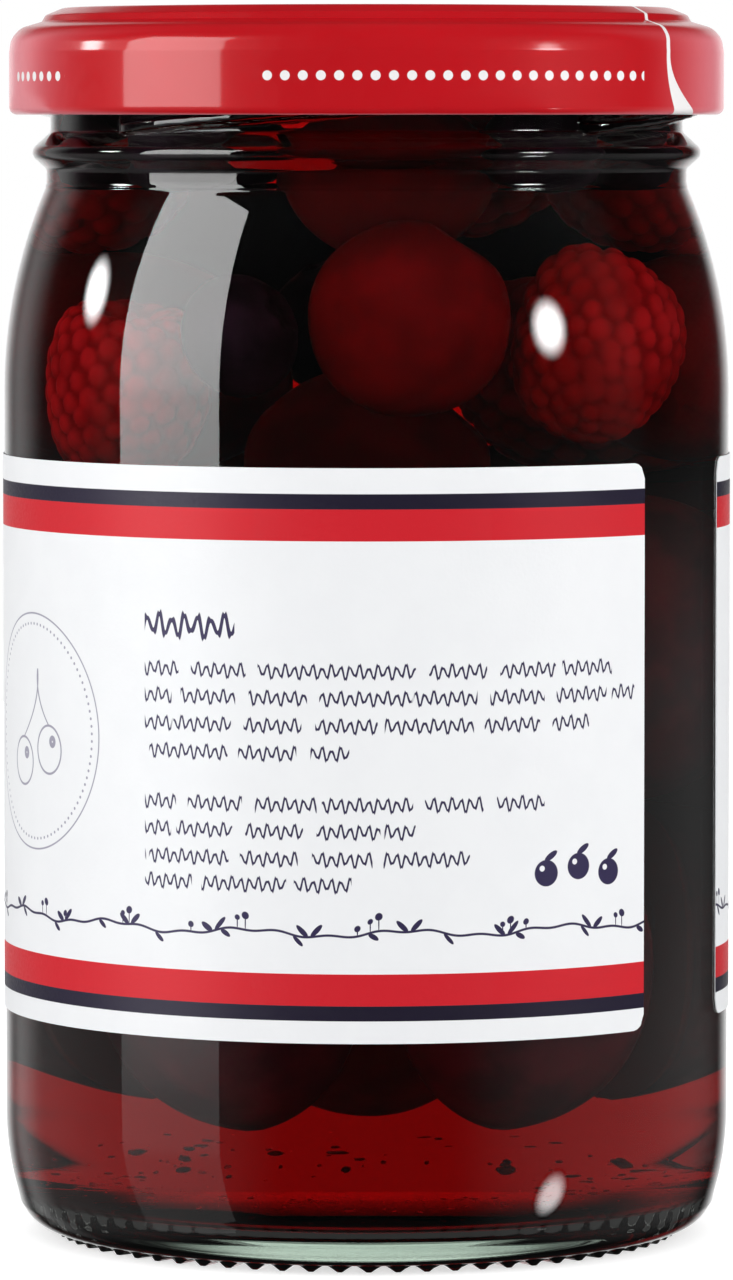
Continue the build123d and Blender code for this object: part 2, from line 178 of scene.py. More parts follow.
def even_path(path: np.ndarray, spacing: float) -> np.ndarray:
    """The same line with points no further apart than spacing, its own points kept."""
    steps = np.hypot(*np.diff(path, axis=0).T)
    counts = np.maximum(1, np.ceil(steps / spacing)).astype(int)
    rows = [
        start + (end - start) * np.arange(count)[:, None] / count
        for start, end, count in zip(path[:-1], path[1:], counts)
    ]
    return np.concatenate([*rows, path[-1:]])


def shifted_path(path: np.ndarray, distance: float) -> np.ndarray:
    """The line moved sideways, to the left of its way, by distance at each point."""
    tangent = np.gradient(path, axis=0)
    tangent /= np.maximum(np.hypot(tangent[:, 0], tangent[:, 1]), 1e-9)[:, None]
    return path + distance * np.stack([-tangent[:, 1], tangent[:, 0]], axis=1)


def turned(radius: np.ndarray, height: np.ndarray, angles: np.ndarray) -> np.ndarray:
    """Points round the jar's axis, x = radius sin(angle), y = -radius cos(angle), z = height.

    Args:
        radius: radii, by row or by row and column.
        height: heights, by row or by row and column.
        angles: the columns' angles from the front, in radians.

    Returns:
        An array of rows, columns and 3.
    """
    shape = (len(radius), len(angles))
    radii = np.broadcast_to(radius if radius.ndim == 2 else radius[:, None], shape)
    heights = np.broadcast_to(height if height.ndim == 2 else height[:, None], shape)
    return np.stack([radii * np.sin(angles), -radii * np.cos(angles), heights], axis=2)


def cap_fans(rows: int, columns: int, first_pole: int) -> list[np.ndarray]:
    """Triangles that close a grid's first row at one pole and its last row at the next.

    Args:
        rows: of the grid.
        columns: of the grid.
        first_pole: number of the first pole's point; the other pole follows it.

    Returns:
        The two fans, as rows of three point numbers.
    """
    around = np.arange(columns)
    ahead = (around + 1) % columns
    last = (rows - 1) * columns
    pole = np.full(columns, first_pole)
    low_fan = np.stack([pole, ahead, around], axis=1)
    return [low_fan, np.stack([pole + 1, last + around, last + ahead], axis=1)]


@dataclass
class Surface:
    """A grid of points that becomes a mesh.

    Attributes:
        points: rows, columns and 3, in millimetres.
        around: whether the last column joins the first.
        looped: whether the last row joins the first.
        capped: whether the first and the last row each close in one point at their middle.
        prints: U and V by row and column, with one column more than the points where they join up.
        marks: named values at the points, such as how deep a cleft is.
        crease_angle: the angle in degrees from which an edge is sharp; 0 leaves all edges smooth.
    """

    points: np.ndarray
    around: bool = True
    looped: bool = False
    capped: bool = False
    prints: np.ndarray | None = None
    marks: dict[str, np.ndarray] = field(default_factory=dict)
    crease_angle: float = 0.0

    def steps(self) -> tuple[np.ndarray, np.ndarray]:
        """The row and the column that each quad starts at."""
        rows, columns = self.points.shape[:2]
        row = np.arange(rows if self.looped else rows - 1)[:, None]
        return row, np.arange(columns if self.around else columns - 1)[None, :]

    def faces(self) -> np.ndarray:
        """Quads between neighbouring rows and columns, as rows of four point numbers."""
        rows, columns = self.points.shape[:2]
        row, column = self.steps()
        next_row, next_column = (row + 1) % rows, (column + 1) % columns
        corners = [
            row * columns + column,
            row * columns + next_column,
            next_row * columns + next_column,
            next_row * columns + column,
        ]
        return np.stack(np.broadcast_arrays(*corners), axis=2).reshape(-1, 4)

    def corner_prints(self) -> np.ndarray:
        """U and V at each corner of each quad, in the quads' order."""
        row, column = self.steps()
        next_row = (row + 1) % len(self.points)
        places = ((row, column), (row, column + 1), (next_row, column + 1), (next_row, column))
        return np.stack([self.prints[place] for place in places], axis=2).reshape(-1, 2)

    def mesh(self, name: str) -> bpy.types.Mesh:
        """The grid as a smooth mesh in metres."""
        rows, columns = self.points.shape[:2]
        verts = self.points.reshape(-1, 3)
        faces = self.faces().tolist()
        quads = len(faces)
        if self.capped:
            for fan in cap_fans(rows, columns, len(verts)):
                faces += fan.tolist()
            verts = np.concatenate([verts, self.points[:1].mean(axis=1), self.points[-1:].mean(axis=1)])
        mesh = smooth_mesh(name, verts, faces)
        if self.prints is not None:
            layer = mesh.uv_layers.new(name=UV_NAME)
            prints = np.zeros((len(mesh.loops), 2))
            prints[: 4 * quads] = self.corner_prints()
            layer.data.foreach_set("uv", prints.ravel())
        for mark, values in self.marks.items():
            padded = np.zeros(len(verts))
            padded[: values.size] = values.ravel()
            mesh.attributes.new(mark, "FLOAT", "POINT").data.foreach_set("value", padded)
        if self.crease_angle:
            mesh.set_sharp_from_angle(angle=np.radians(self.crease_angle))
        mesh.update()
        return mesh


def smooth_mesh(name: str, points: np.ndarray, faces: list[list[int]]) -> bpy.types.Mesh:
    """A smooth-shaded mesh in metres from points in millimetres."""
    mesh = bpy.data.meshes.new(name)
    mesh.from_pydata((points * MM).tolist(), [], faces)
    mesh.polygons.foreach_set("use_smooth", np.ones(len(mesh.polygons), dtype=bool))
    return mesh


def shown(name: str, data: bpy.types.ID) -> bpy.types.Object:
    """A new object in the scene."""
    thing = bpy.data.objects.new(name, data)
    bpy.context.scene.collection.objects.link(thing)
    return thing


def joined(name: str, meshes: list[bpy.types.Mesh]) -> bpy.types.Mesh:
    """Several meshes as one, with their U, V and marks."""
    things = [shown(f"{name}_{number}", mesh) for number, mesh in enumerate(meshes)]
    with bpy.context.temp_override(
        active_object=things[0], selected_objects=things, selected_editable_objects=things
    ):
        bpy.ops.object.join()
    whole = things[0].data
    bpy.data.objects.remove(things[0])
    whole.name = name
    return whole


def piece(
    name: str,
    meshes: list[bpy.types.Mesh],
    material: bpy.types.Material,
    body: Body,
    nodes: list[str],
) -> bpy.types.Object:
    """Makes one finished piece of the jar.

    Args:
        name: of the piece.
        meshes: what it is made of, joined into one mesh.
        material: its finish.
        body: the body that it rides on.
        nodes: the solids that it stands for.

    Returns:
        The new object.
    """
    mesh = meshes[0] if len(meshes) == 1 else joined(name, meshes)
    thing = shown(name, mesh)
    mesh.materials.append(material)
    if nodes:
        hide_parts(*nodes)
    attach(thing, body.value)
    log.info("%s: %d faces", name, len(mesh.polygons))
    return thing


class Wire:
    """The output of a shader node; sums are written with it as with a plain number."""

    def __init__(self, bench: Bench, socket: Socket) -> None:
        """Takes the output and the bench that its tree is worked on."""
        self.bench, self.socket = bench, socket

    def __add__(self, other: Value) -> Wire:
        """The sum."""
        return self.bench.math("ADD", self, other)

    def __sub__(self, other: Value) -> Wire:
        """The difference."""
        return self.bench.math("SUBTRACT", self, other)

    def __rsub__(self, other: float) -> Wire:
        """The difference from a plain number."""
        return self.bench.math("SUBTRACT", other, self)

    def __mul__(self, other: Value) -> Wire:
        """The product."""
        return self.bench.math("MULTIPLY", self, other)

    def __truediv__(self, other: Value) -> Wire:
        """The quotient."""
        return self.bench.math("DIVIDE", self, other)

    def __abs__(self) -> Wire:
        """The value without its sign."""
        return self.bench.math("ABSOLUTE", self)


Value = float | Wire


class Bench:
    """Puts shader nodes into one tree and joins them."""

    def __init__(self, tree: bpy.types.NodeTree) -> None:
        """Takes the tree to work on."""
        self.tree = tree

    def node(self, kind: str, **settings: object) -> bpy.types.Node:
        """A new node with some of its settings."""
        made = self.tree.nodes.new(kind)
        for key, setting in settings.items():
            setattr(made, key, setting)
        return made

    def out(self, node: bpy.types.Node, key: str | int = 0) -> Wire:
        """One output of a node."""
        return Wire(self, node.outputs[key])

    def feed(self, target: Socket, value: Value | Colour) -> None:
        """Sets a socket to a plain value, or joins another socket to it."""
        if isinstance(value, Wire):
            self.tree.links.new(value.socket, target)
        else:
            target.default_value = value

    def fill(self, node: bpy.types.Node, values: dict[str | int, Value | Colour]) -> Wire:
        """Sets or joins some of a node's inputs and hands on its first output."""
        for key, value in values.items():
            self.feed(node.inputs[key], value)
        return self.out(node)

    def math(self, operation: str, *values: Value) -> Wire:
        """One sum, clamped only where the operation does so."""
        return self.fill(self.node("ShaderNodeMath", operation=operation), dict(enumerate(values)))

    def highest(self, *values: Value) -> Wire:
        """The highest of some values, for masks that lie over one another."""
        top = values[0]
        for value in values[1:]:
            top = self.math("MAXIMUM", top, value)
        return top

    def length(self, across: Wire, up: Wire) -> Wire:
        """How far a place is from the origin, from its two coordinates."""
        return self.math("SQRT", across * across + up * up)

    def blend(self, share: Value, first: Wire | Colour, second: Wire | Colour) -> Wire:
        """The first colour where share is 0, the second where it is 1."""
        made = self.node("ShaderNodeMix", data_type="RGBA")
        self.fill(made, {"Factor": share, 6: first, 7: second})
        return self.out(made, 2)

    def ramp(self, value: Value, low: Value, high: Value, to_low: float = 0.0, to_high: float = 1.0) -> Wire:
        """Maps low..high to to_low..to_high with a smooth step."""
        made = self.node("ShaderNodeMapRange", interpolation_type="SMOOTHSTEP")
        ends = {"From Min": low, "From Max": high, "To Min": to_low, "To Max": to_high}
        return self.fill(made, {"Value": value, **ends})

    def place(self) -> Wire:
        """Object coordinates."""
        return self.out(self.node("ShaderNodeTexCoord"), "Object")

    def noise(self, scale: Value, detail: Value = 2.0) -> Wire:
        """A noise value from 0 to 1, its scale in turns per metre."""
        made = self.node("ShaderNodeTexNoise")
        self.fill(made, {"Vector": self.place(), "Scale": scale, "Detail": detail, "Roughness": 0.5})
        return self.out(made, "Fac")

    def mark(self, name: str) -> Wire:
        """A value that is kept at the mesh's points."""
        return self.out(self.node("ShaderNodeAttribute", attribute_name=name), "Fac")

    def print_place(self) -> tuple[Wire, Wire]:
        """The piece's own U and V."""
        split = self.node("ShaderNodeSeparateXYZ")
        self.fill(split, {0: self.out(self.node("ShaderNodeUVMap", uv_map=UV_NAME))})
        return self.out(split, 0), self.out(split, 1)

    def effect(self, group: bpy.types.NodeTree, **values: Value | Colour) -> Wire:
        """A shared effect with its own values; an underscore in a name stands for a space."""
        made = self.node("ShaderNodeGroup", node_tree=group)
        return self.fill(made, {key.replace("_", " "): value for key, value in values.items()})


class SharedEffects:
    """The node groups that more than one finish uses; lengths in the prints are in millimetres."""

    edge_softness = 0.04
    leaf_edge = (1.15, 0.85)
    scribble_pace = 7.2
    scribble_phase = 7.0
    scribble_edge = 0.035
    swing_pace = 0.61
    swing_change = 0.27
    swing_middle = 0.68
    swing_size = 0.66
    word_paces = (0.83, 1.9)
    word_share = 0.6
    word_gap = (1.06, 1.0)

    def __init__(self) -> None:
        """Builds each group once."""
        self.mottle = self._mottle()
        self.grain = self._grain()
        self.band = self._band()
        self.ring = self._ring()
        self.dots = self._dots()
        self.leaves = self._leaves()
        self.scribble = self._scribble()

    @staticmethod
    def _group(
        name: str, inputs: dict[str, float | Colour], output: str = "Mask", kind: str = "NodeSocketFloat"
    ) -> tuple[Bench, dict[str, Wire], Socket]:
        """A new group.

        Args:
            name: of the group.
            inputs: names and default values; a tuple is a colour.
            output: name of its one output.
            kind: type of the output's socket.

        Returns:
            The bench, the inputs by name and the socket that takes the result.
        """
        tree = bpy.data.node_groups.new(name, "ShaderNodeTree")
        for key, value in inputs.items():
            socket_type = "NodeSocketColor" if isinstance(value, tuple) else "NodeSocketFloat"
            tree.interface.new_socket(name=key, in_out="INPUT", socket_type=socket_type).default_value = value
        tree.interface.new_socket(name=output, in_out="OUTPUT", socket_type=kind)
        bench = Bench(tree)
        entry = bench.node("NodeGroupInput")
        leave = bench.node("NodeGroupOutput")
        return bench, {key: bench.out(entry, key) for key in inputs}, leave.inputs[0]

    def _mottle(self) -> bpy.types.NodeTree:
        """Two colours mixed by soft clouds."""
        inputs = {"Scale": 100.0, "Detail": 3.0, "Low": BLACK, "High": WHITE}
        bench, entry, leave = self._group("Mottle", inputs, "Colour", "NodeSocketColor")
        clouds = bench.ramp(bench.noise(entry["Scale"], entry["Detail"]), 0.32, 0.68)
        bench.feed(leave, bench.blend(clouds, entry["Low"], entry["High"]))
        return bench.tree

    def _grain(self) -> bpy.types.NodeTree:
        """A fine uneven skin, as a normal; its depth is in metres."""
        inputs = {"Scale": 1000.0, "Depth": 0.00001, "Detail": 2.0}
        bench, entry, leave = self._group("Fine grain", inputs, "Normal", "NodeSocketVector")
        height = bench.noise(entry["Scale"], entry["Detail"])
        bump = {"Strength": 1.0, "Distance": entry["Depth"], "Height": height}
        bench.feed(leave, bench.fill(bench.node("ShaderNodeBump"), bump))
        return bench.tree

    def _band(self) -> bpy.types.NodeTree:
        """1 between two places along a coordinate, with soft edges."""
        inputs = {"Along": 0.0, "Low": 0.0, "High": 1.0, "Softness": self.edge_softness}
        bench, entry, leave = self._group("Printed band", inputs)
        middle, half = (entry["Low"] + entry["High"]) * 0.5, (entry["High"] - entry["Low"]) * 0.5
        inside = (half - abs(entry["Along"] - middle)) / entry["Softness"]
        bench.feed(leave, bench.ramp(inside, -0.5, 0.5))
        return bench.tree

    def _ring(self) -> bpy.types.NodeTree:
        """A drawn circle; a width as large as the radius fills it."""
        inputs = {"U": 0.0, "V": 0.0, "Middle U": 0.0, "Middle V": 0.0, "Radius": 1.0, "Width": 0.2}
        bench, entry, leave = self._group("Drawn ring", inputs)
        radius = bench.length(entry["U"] - entry["Middle U"], entry["V"] - entry["Middle V"])
        inside = entry["Width"] * 0.5 - abs(radius - entry["Radius"])
        bench.feed(leave, bench.ramp(inside, -self.edge_softness, self.edge_softness))
        return bench.tree

    @staticmethod
    def _repeated(bench: Bench, entry: dict[str, Wire]) -> tuple[Wire, Wire]:
        """Coordinates from the middle of the nearest motif in a row of them."""
        share = bench.math("FRACT", entry["U"] / entry["Spacing"])
        return (share - 0.5) * entry["Spacing"], entry["V"] - entry["Height"]

    def _dots(self) -> bpy.types.NodeTree:
        """A row of round dots, evenly spaced."""
        inputs = {"U": 0.0, "V": 0.0, "Height": 0.0, "Spacing": 1.0, "Radius": 0.2}
        bench, entry, leave = self._group("Row of dots", inputs)
        inside = entry["Radius"] - bench.length(*self._repeated(bench, entry))
        bench.feed(leave, bench.ramp(inside, -self.edge_softness, self.edge_softness))
        return bench.tree

    def _leaves(self) -> bpy.types.NodeTree:
        """A row of slanting oval leaves, evenly spaced; the slant is in radians."""
        inputs = {"U": 0.0, "V": 0.0, "Height": 0.0, "Spacing": 1.0}
        inputs |= {"Length": 0.6, "Width": 0.25, "Slant": 0.8}
        bench, entry, leave = self._group("Row of leaves", inputs)
        across, up = self._repeated(bench, entry)
        cosine, sine = bench.math("COSINE", entry["Slant"]), bench.math("SINE", entry["Slant"])
        along = (across * cosine + up * sine) / entry["Length"]
        aside = (up * cosine - across * sine) / entry["Width"]
        bench.feed(leave, bench.ramp(along * along + aside * aside, *self.leaf_edge))
        return bench.tree

    def _scribble(self) -> bpy.types.NodeTree:
        """A line of dummy handwriting: an uneven wave, broken into word-long runs."""
        inputs = {"U": 0.0, "V": 0.0, "Left": 0.0, "Right": 1.0, "Height": 0.0, "Size": 1.0, "Weight": 0.2}
        bench, entry, leave = self._group("Scribbled line", inputs)
        reach = entry["U"] / entry["Size"]
        turn = reach * self.scribble_pace
        phase = entry["Height"] * self.scribble_phase
        uneven = bench.math("SINE", turn * self.swing_pace + phase) * self.swing_change
        swing = (uneven + self.swing_middle) * self.swing_size
        wave = bench.math("SINE", turn) * swing * entry["Size"]
        slope = bench.math("COSINE", turn) * swing * self.scribble_pace
        steep = bench.math("SQRT", slope * slope + 1.0)
        off = abs(entry["V"] - entry["Height"] - wave) / steep
        line = bench.ramp(entry["Weight"] * 0.5 - off, -self.scribble_edge, self.scribble_edge)
        slow, quick = (bench.math("SINE", reach * pace + phase) for pace in self.word_paces)
        written = bench.ramp(slow + quick * self.word_share, *self.word_gap)
        inside = bench.effect(self.band, Along=entry["U"], Low=entry["Left"], High=entry["Right"])
        bench.feed(leave, line * written * inside)
        return bench.tree


def new_material(name: str) -> tuple[bpy.types.Material, Bench, bpy.types.Node, bpy.types.Node]:
    """An empty material with its shader.

    Args:
        name: of the material.

    Returns:
        The material, its bench, its Principled shader and its output.
    """
    material = bpy.data.materials.new(name)
    material.use_nodes = True
    material.node_tree.nodes.clear()
    bench = Bench(material.node_tree)
    shader = bench.node("ShaderNodeBsdfPrincipled")
    output = bench.node("ShaderNodeOutputMaterial")
    bench.feed(output.inputs["Surface"], bench.out(shader))
    return material, bench, shader, output


def clear_material(
    name: str, tint: Colour, index: float, absorbed: Colour, density: float
) -> tuple[bpy.types.Material, Bench, bpy.types.Node]:
    """A smooth clear material that takes up light along the way through it.

    Args:
        name: of the material.
        tint: colour that its surface gives to what it lets through.
        index: of refraction.
        absorbed: colour that is left after a long way.
        density: how fast the light is taken up, per metre.

    Returns:
        The material, its bench and its Principled shader.
    """
    material, bench, shader, output = new_material(name)
    bench.fill(shader, {"Base Color": tint, "Roughness": 0.0, "IOR": index, "Transmission Weight": 1.0})
    volume = bench.fill(bench.node("ShaderNodeVolumeAbsorption"), {"Color": absorbed, "Density": density})
    bench.feed(output.inputs["Volume"], volume)
    return material, bench, shader


@dataclass(frozen=True)
class GlassFinish:
    """Clear soda glass, faintly green, with the slow waves of a blown wall.

    Where the syrup wets the inside, the wall mirrors almost nothing, as between clear bodies of like index.
    """

    index: float = 1.52
    tint: Colour = (0.97, 0.985, 0.975, 1.0)
    absorbed: Colour = (0.80, 0.95, 0.84, 1.0)
    density: float = 24.0
    wet_tint: Colour = (0.01, 0.01, 0.01, 1.0)
    wave_scale: float = 45.0
    wave_depth: float = 0.00006

    def material(self, effects: SharedEffects) -> bpy.types.Material:
        """Builds the finish."""
        body = (self.tint, self.index, self.absorbed, self.density)
        material, bench, shader = clear_material("jar_glass", *body)
        wave = bench.effect(effects.grain, Scale=self.wave_scale, Depth=self.wave_depth, Detail=1.0)
        tint = bench.blend(bench.mark("wetted"), WHITE, self.wet_tint)
        bench.fill(shader, {"Specular Tint": tint, "Normal": wave})
        return material


@dataclass(frozen=True)
class SyrupFinish:
    """Clear liquid stained dark red by the fruit."""

    index: float = 1.37
    absorbed: Colour = (0.835, 0.0, 0.05, 1.0)
    density: float = 125.0
    mirror_tint: Colour = (0.02, 0.02, 0.02, 1.0)

    def material(self) -> bpy.types.Material:
        """Builds the finish."""
        material, bench, shader = clear_material("rum_syrup", WHITE, self.index, self.absorbed, self.density)
        bench.fill(shader, {"Specular Tint": self.mirror_tint})
        return material


@dataclass(frozen=True)
class LacquerFinish:
    """Red lacquer on tinplate, with a painted sheen that makes the skirt paler pink where it is seen at a
    slant, and with a white stripe and runs of white dots.

    Heights are in mm and angles in degrees; the stripe's curve and flare are degrees per square mm.
    """

    red: Colour = (0.50, 0.0022, 0.0075, 1.0)
    deep_red: Colour = (0.47, 0.0018, 0.0065, 1.0)
    white: Colour = (0.86, 0.84, 0.84, 1.0)
    # Painted sheen: the skirt's red turns towards this pale pink where it is seen at a slant, fading out
    # towards the top.
    painted_rim_sheen: Colour = (1.0, 0.36, 0.42, 1.0)
    painted_sheen_facing: Span = (0.35, 1.0)
    painted_sheen_share: float = 0.85
    painted_sheen_heights: Span = (117.4, 115.8)
    roughness: Span = (0.28, 0.36)
    coat: float = 0.5
    coat_roughness: float = 0.07
    sheen: float = 0.14
    stripe_angle: float = 55.5
    stripe_waist_height: float = 114.6
    stripe_curve: float = 0.19
    stripe_width: float = 0.5
    stripe_flare: float = 0.10
    stripe_softness: float = 0.08
    bead_height: float = 112.6
    bead_spacing: float = 1.7
    bead_radius: float = 0.46
    bead_spans: tuple[Span, ...] = ((-16.5, 49.0), (-76.0, -55.5))
    mm_per_degree: float = 0.6056

    def material(self, effects: SharedEffects) -> bpy.types.Material:
        """Builds the finish; U is the angle from the front in degrees and V the height."""
        material, bench, shader, _ = new_material("lid_lacquer")
        angle, height = bench.print_place()
        base = bench.effect(effects.mottle, Scale=60.0, Low=self.deep_red, High=self.red)
        facing = bench.out(bench.node("ShaderNodeLayerWeight"), "Facing")
        # Painted sheen: the base colour turns pale pink where the skirt is seen at a slant.
        rim = bench.ramp(facing, *self.painted_sheen_facing, 0.0, self.painted_sheen_share) * bench.ramp(height, *self.painted_sheen_heights)
        base = bench.blend(rim, base, self.painted_rim_sheen)
        mask = bench.highest(self._stripe(bench, angle, height), self._beads(bench, effects, angle, height))
        look = {
            "Base Color": bench.blend(mask, base, self.white),
            "Specular IOR Level": self.sheen,
            "Coat Weight": self.coat,
            "Coat Roughness": self.coat_roughness,
            "Roughness": bench.ramp(bench.noise(900.0), 0.2, 0.8, *self.roughness),
            "Normal": bench.effect(effects.grain, Scale=1400.0, Depth=0.000004),
        }
        bench.fill(shader, look)
        return material

    def _stripe(self, bench: Bench, angle: Wire, height: Wire) -> Wire:
        """The curved stripe, whose middle follows a parabola and which flares towards the hem."""
        off = height - self.stripe_waist_height
        middle = off * off * self.stripe_curve + self.stripe_angle
        below = bench.highest(off * -1.0, 0.0)
        half = below * below * self.stripe_flare + self.stripe_width
        return bench.ramp(half - abs(angle - middle), -self.stripe_softness, self.stripe_softness)

    def _beads(self, bench: Bench, effects: SharedEffects, angle: Wire, height: Wire) -> Wire:
        """Short runs of round dots along the skirt."""
        row = {"Height": self.bead_height, "Spacing": self.bead_spacing, "Radius": self.bead_radius}
        dots = bench.effect(effects.dots, U=angle * self.mm_per_degree, V=height, **row)
        spans = [bench.effect(effects.band, Along=angle, Low=low, High=high) for low, high in self.bead_spans]
        return dots * bench.highest(*spans)


@dataclass(frozen=True)
class PlainFinish:
    """An even matt finish with soft clouds: the sealing compound and the lid's pale inside.

    Attributes:
        name: of the material.
        low: darker colour of its clouds.
        high: lighter colour.
        scale: of the clouds, in turns per metre.
        roughness: of the skin.
        grain: depth of its fine relief in metres, if it has one.
    """

    name: str
    low: Colour
    high: Colour
    scale: float
    roughness: float
    grain: float = 0.0

    def material(self, effects: SharedEffects) -> bpy.types.Material:
        """Builds the finish."""
        material, bench, shader, _ = new_material(self.name)
        base = bench.effect(effects.mottle, Scale=self.scale, Low=self.low, High=self.high)
        bench.fill(shader, {"Base Color": base, "Roughness": self.roughness})
        if self.grain:
            bench.fill(shader, {"Normal": bench.effect(effects.grain, Scale=2500.0, Depth=self.grain)})
        return material


SEALING_COMPOUND = PlainFinish(
    name="sealing_compound",
    low=(0.66, 0.62, 0.54, 1.0),
    high=(0.74, 0.70, 0.62, 1.0),
    scale=300.0,
    roughness=0.55,
    grain=0.00001,
)
LID_INSIDE = PlainFinish(
    name="lid_inside",
    low=(0.68, 0.66, 0.62, 1.0),
    high=(0.74, 0.72, 0.68, 1.0),
    scale=80.0,
    roughness=0.35,
)


@dataclass(frozen=True)
class PaperFinish:
    """Coated white paper printed with bands, an emblem, lines of dummy handwriting and a drawn vine.

    Places are U and V in mm: the length round the jar from its front, and the height. A text row is its
    height and its right end, and a pen the size and weight of the writing. An emblem's ring is its middle,
    radius and width, and a stem its bow and its foot, all from the emblem's middle. An edge holds where a
    line has faded out and where it is full, off its middle. A leaf's shape is its length, width and slant,
    and a bud's stem its width and slant. A row of leaves is its height over the vine, spacing, length, width,
    slant and shift, and a row of buds its height, spacing, radius and shift.
    """

    white: Colour = (0.85, 0.86, 0.875, 1.0)
    shade: Colour = (0.835, 0.845, 0.862, 1.0)
    navy: Colour = (0.014, 0.010, 0.028, 1.0)
    ink: Colour = (0.030, 0.022, 0.075, 1.0)
    red: Colour = (0.60, 0.006, 0.016, 1.0)
    emblem_ink: Colour = (0.33, 0.32, 0.40, 1.0)
    lustre: float = 0.26
    roughness: Span = (0.34, 0.46)
    navy_bands: tuple[Span, ...] = ((72.28, 73.71), (24.39, 25.80))
    red_bands: tuple[Span, ...] = ((69.30, 72.30), (25.78, 28.80))
    band_softness: float = 0.05
    text_left: float = -22.3
    heading: Span = (61.2, -12.6)
    heading_pen: Span = (1.6, 0.42)
    text_pen: Span = (1.0, 0.21)
    text_rows: tuple[Span, ...] = (
        (57.1, 25.2),
        (54.6, 28.2),
        (52.0, 22.4),
        (49.4, -1.6),
        (44.6, 17.4),
        (42.1, 4.6),
        (39.5, 9.8),
        (37.1, -1.4),
    )
    berries: tuple[Span, ...] = ((17.6, 37.9), (21.2, 38.4), (24.8, 37.7))
    berry_radius: float = 1.25
    berry_shine: Span = (0.45, 0.55)
    berry_leaf: Span = (0.5, 0.35)
    berry_leaf_shape: Place = (0.8, 0.3, 0.6)
    only_once: float = 400.0
    emblem_middle: Span = (-39.5, 50.1)
    emblem_dots_radius: float = 10.3
    emblem_dots: int = 90
    emblem_dot: float = 0.14
    emblem_rings: tuple[tuple[float, ...], ...] = (
        (0.0, 0.0, 11.3, 0.16),
        (-2.6, -3.0, 2.3, 0.22),
        (3.1, -1.6, 2.3, 0.22),
        (-1.9, -2.2, 0.35, 0.5),
        (3.8, -0.8, 0.35, 0.5),
    )
    stems: tuple[Place, ...] = ((0.10, -2.6, -0.7), (-0.12, 3.1, 0.7))
    stems_meet: Span = (0.8, 6.0)
    stem_edge: Span = (0.16, 0.08)
    stem_fade: float = 0.05
    vine_height: float = 32.6
    vine_waves: tuple[Span, ...] = ((0.41, 0.3), (1.3, 0.14))
    vine_edge: Span = (0.15, 0.08)
    bud_stem: Span = (0.06, 1.57)
    vine_leaves: tuple[tuple[float, ...], ...] = (
        (0.52, 9.4, 0.72, 0.26, 0.75, 0.0),
        (0.52, 9.4, 0.72, 0.26, 2.4, 1.35),
        (-0.46, 7.1, 0.6, 0.22, -0.7, 2.9),
    )
    vine_buds: tuple[tuple[float, ...], ...] = (
        (1.35, 12.7, 0.36, 5.2),
        (1.05, 12.7, 0.26, 6.0),
        (0.7, 16.3, 0.3, 9.0),
    )

    def material(self, effects: SharedEffects) -> bpy.types.Material:
        """Builds the finish."""
        material, bench, shader, _ = new_material("label_paper")
        u, v = bench.print_place()
        colour = bench.effect(effects.mottle, Scale=220.0, Low=self.shade, High=self.white)
        colour = bench.blend(self._emblem(bench, effects, u, v), colour, self.emblem_ink)
        lines = bench.highest(self._text_block(bench, effects, u, v), self._vine(bench, effects, u, v))
        colour = bench.blend(lines, colour, self.ink)
        for bands, ink in ((self.red_bands, self.red), (self.navy_bands, self.navy)):
            for low, high in bands:
                band = bench.effect(effects.band, Along=v, Low=low, High=high, Softness=self.band_softness)
                colour = bench.blend(band, colour, ink)
        look = {
            "Base Color": colour,
            "Roughness": bench.ramp(bench.noise(3000.0), 0.2, 0.8, *self.roughness),
            "Specular IOR Level": self.lustre,
            "Normal": bench.effect(effects.grain, Scale=2600.0, Depth=0.000012, Detail=4.0),
        }
        bench.fill(shader, look)
        return material

    def _emblem(self, bench: Bench, effects: SharedEffects, u: Wire, v: Wire) -> Wire:
        """A ring with an inner ring of dots round a pair of cherries on their stems."""
        across, up = u - self.emblem_middle[0], v - self.emblem_middle[1]
        round_ring = bench.math("ARCTAN2", up, across) * self.emblem_dots_radius
        spacing = 2 * np.pi * self.emblem_dots_radius / self.emblem_dots
        row = {"Height": self.emblem_dots_radius, "Spacing": spacing, "Radius": self.emblem_dot}
        masks = [bench.effect(effects.dots, U=round_ring, V=bench.length(across, up), **row)]
        for middle_u, middle_v, radius, width in self.emblem_rings:
            middle = {"U": across, "V": up, "Middle_U": middle_u, "Middle_V": middle_v}
            masks.append(bench.effect(effects.ring, **middle, Radius=radius, Width=width))
        masks += [self._stem(bench, across, up, *stem) for stem in self.stems]
        return bench.highest(*masks)

    def _stem(self, bench: Bench, across: Wire, up: Wire, bow: float, foot_u: float, foot_v: float) -> Wire:
        """A thin stem from a cherry's top to where both meet, along a parabola."""
        top_u, top_v = self.stems_meet
        height = up - foot_v
        middle = height * ((top_u - foot_u) / (top_v - foot_v)) + foot_u + height * (top_v - up) * bow
        line = bench.ramp(abs(across - middle), *self.stem_edge)
        over_foot = bench.ramp(up, foot_v - self.stem_fade, foot_v + self.stem_fade)
        return line * over_foot * bench.ramp(up, top_v + self.stem_fade, top_v)

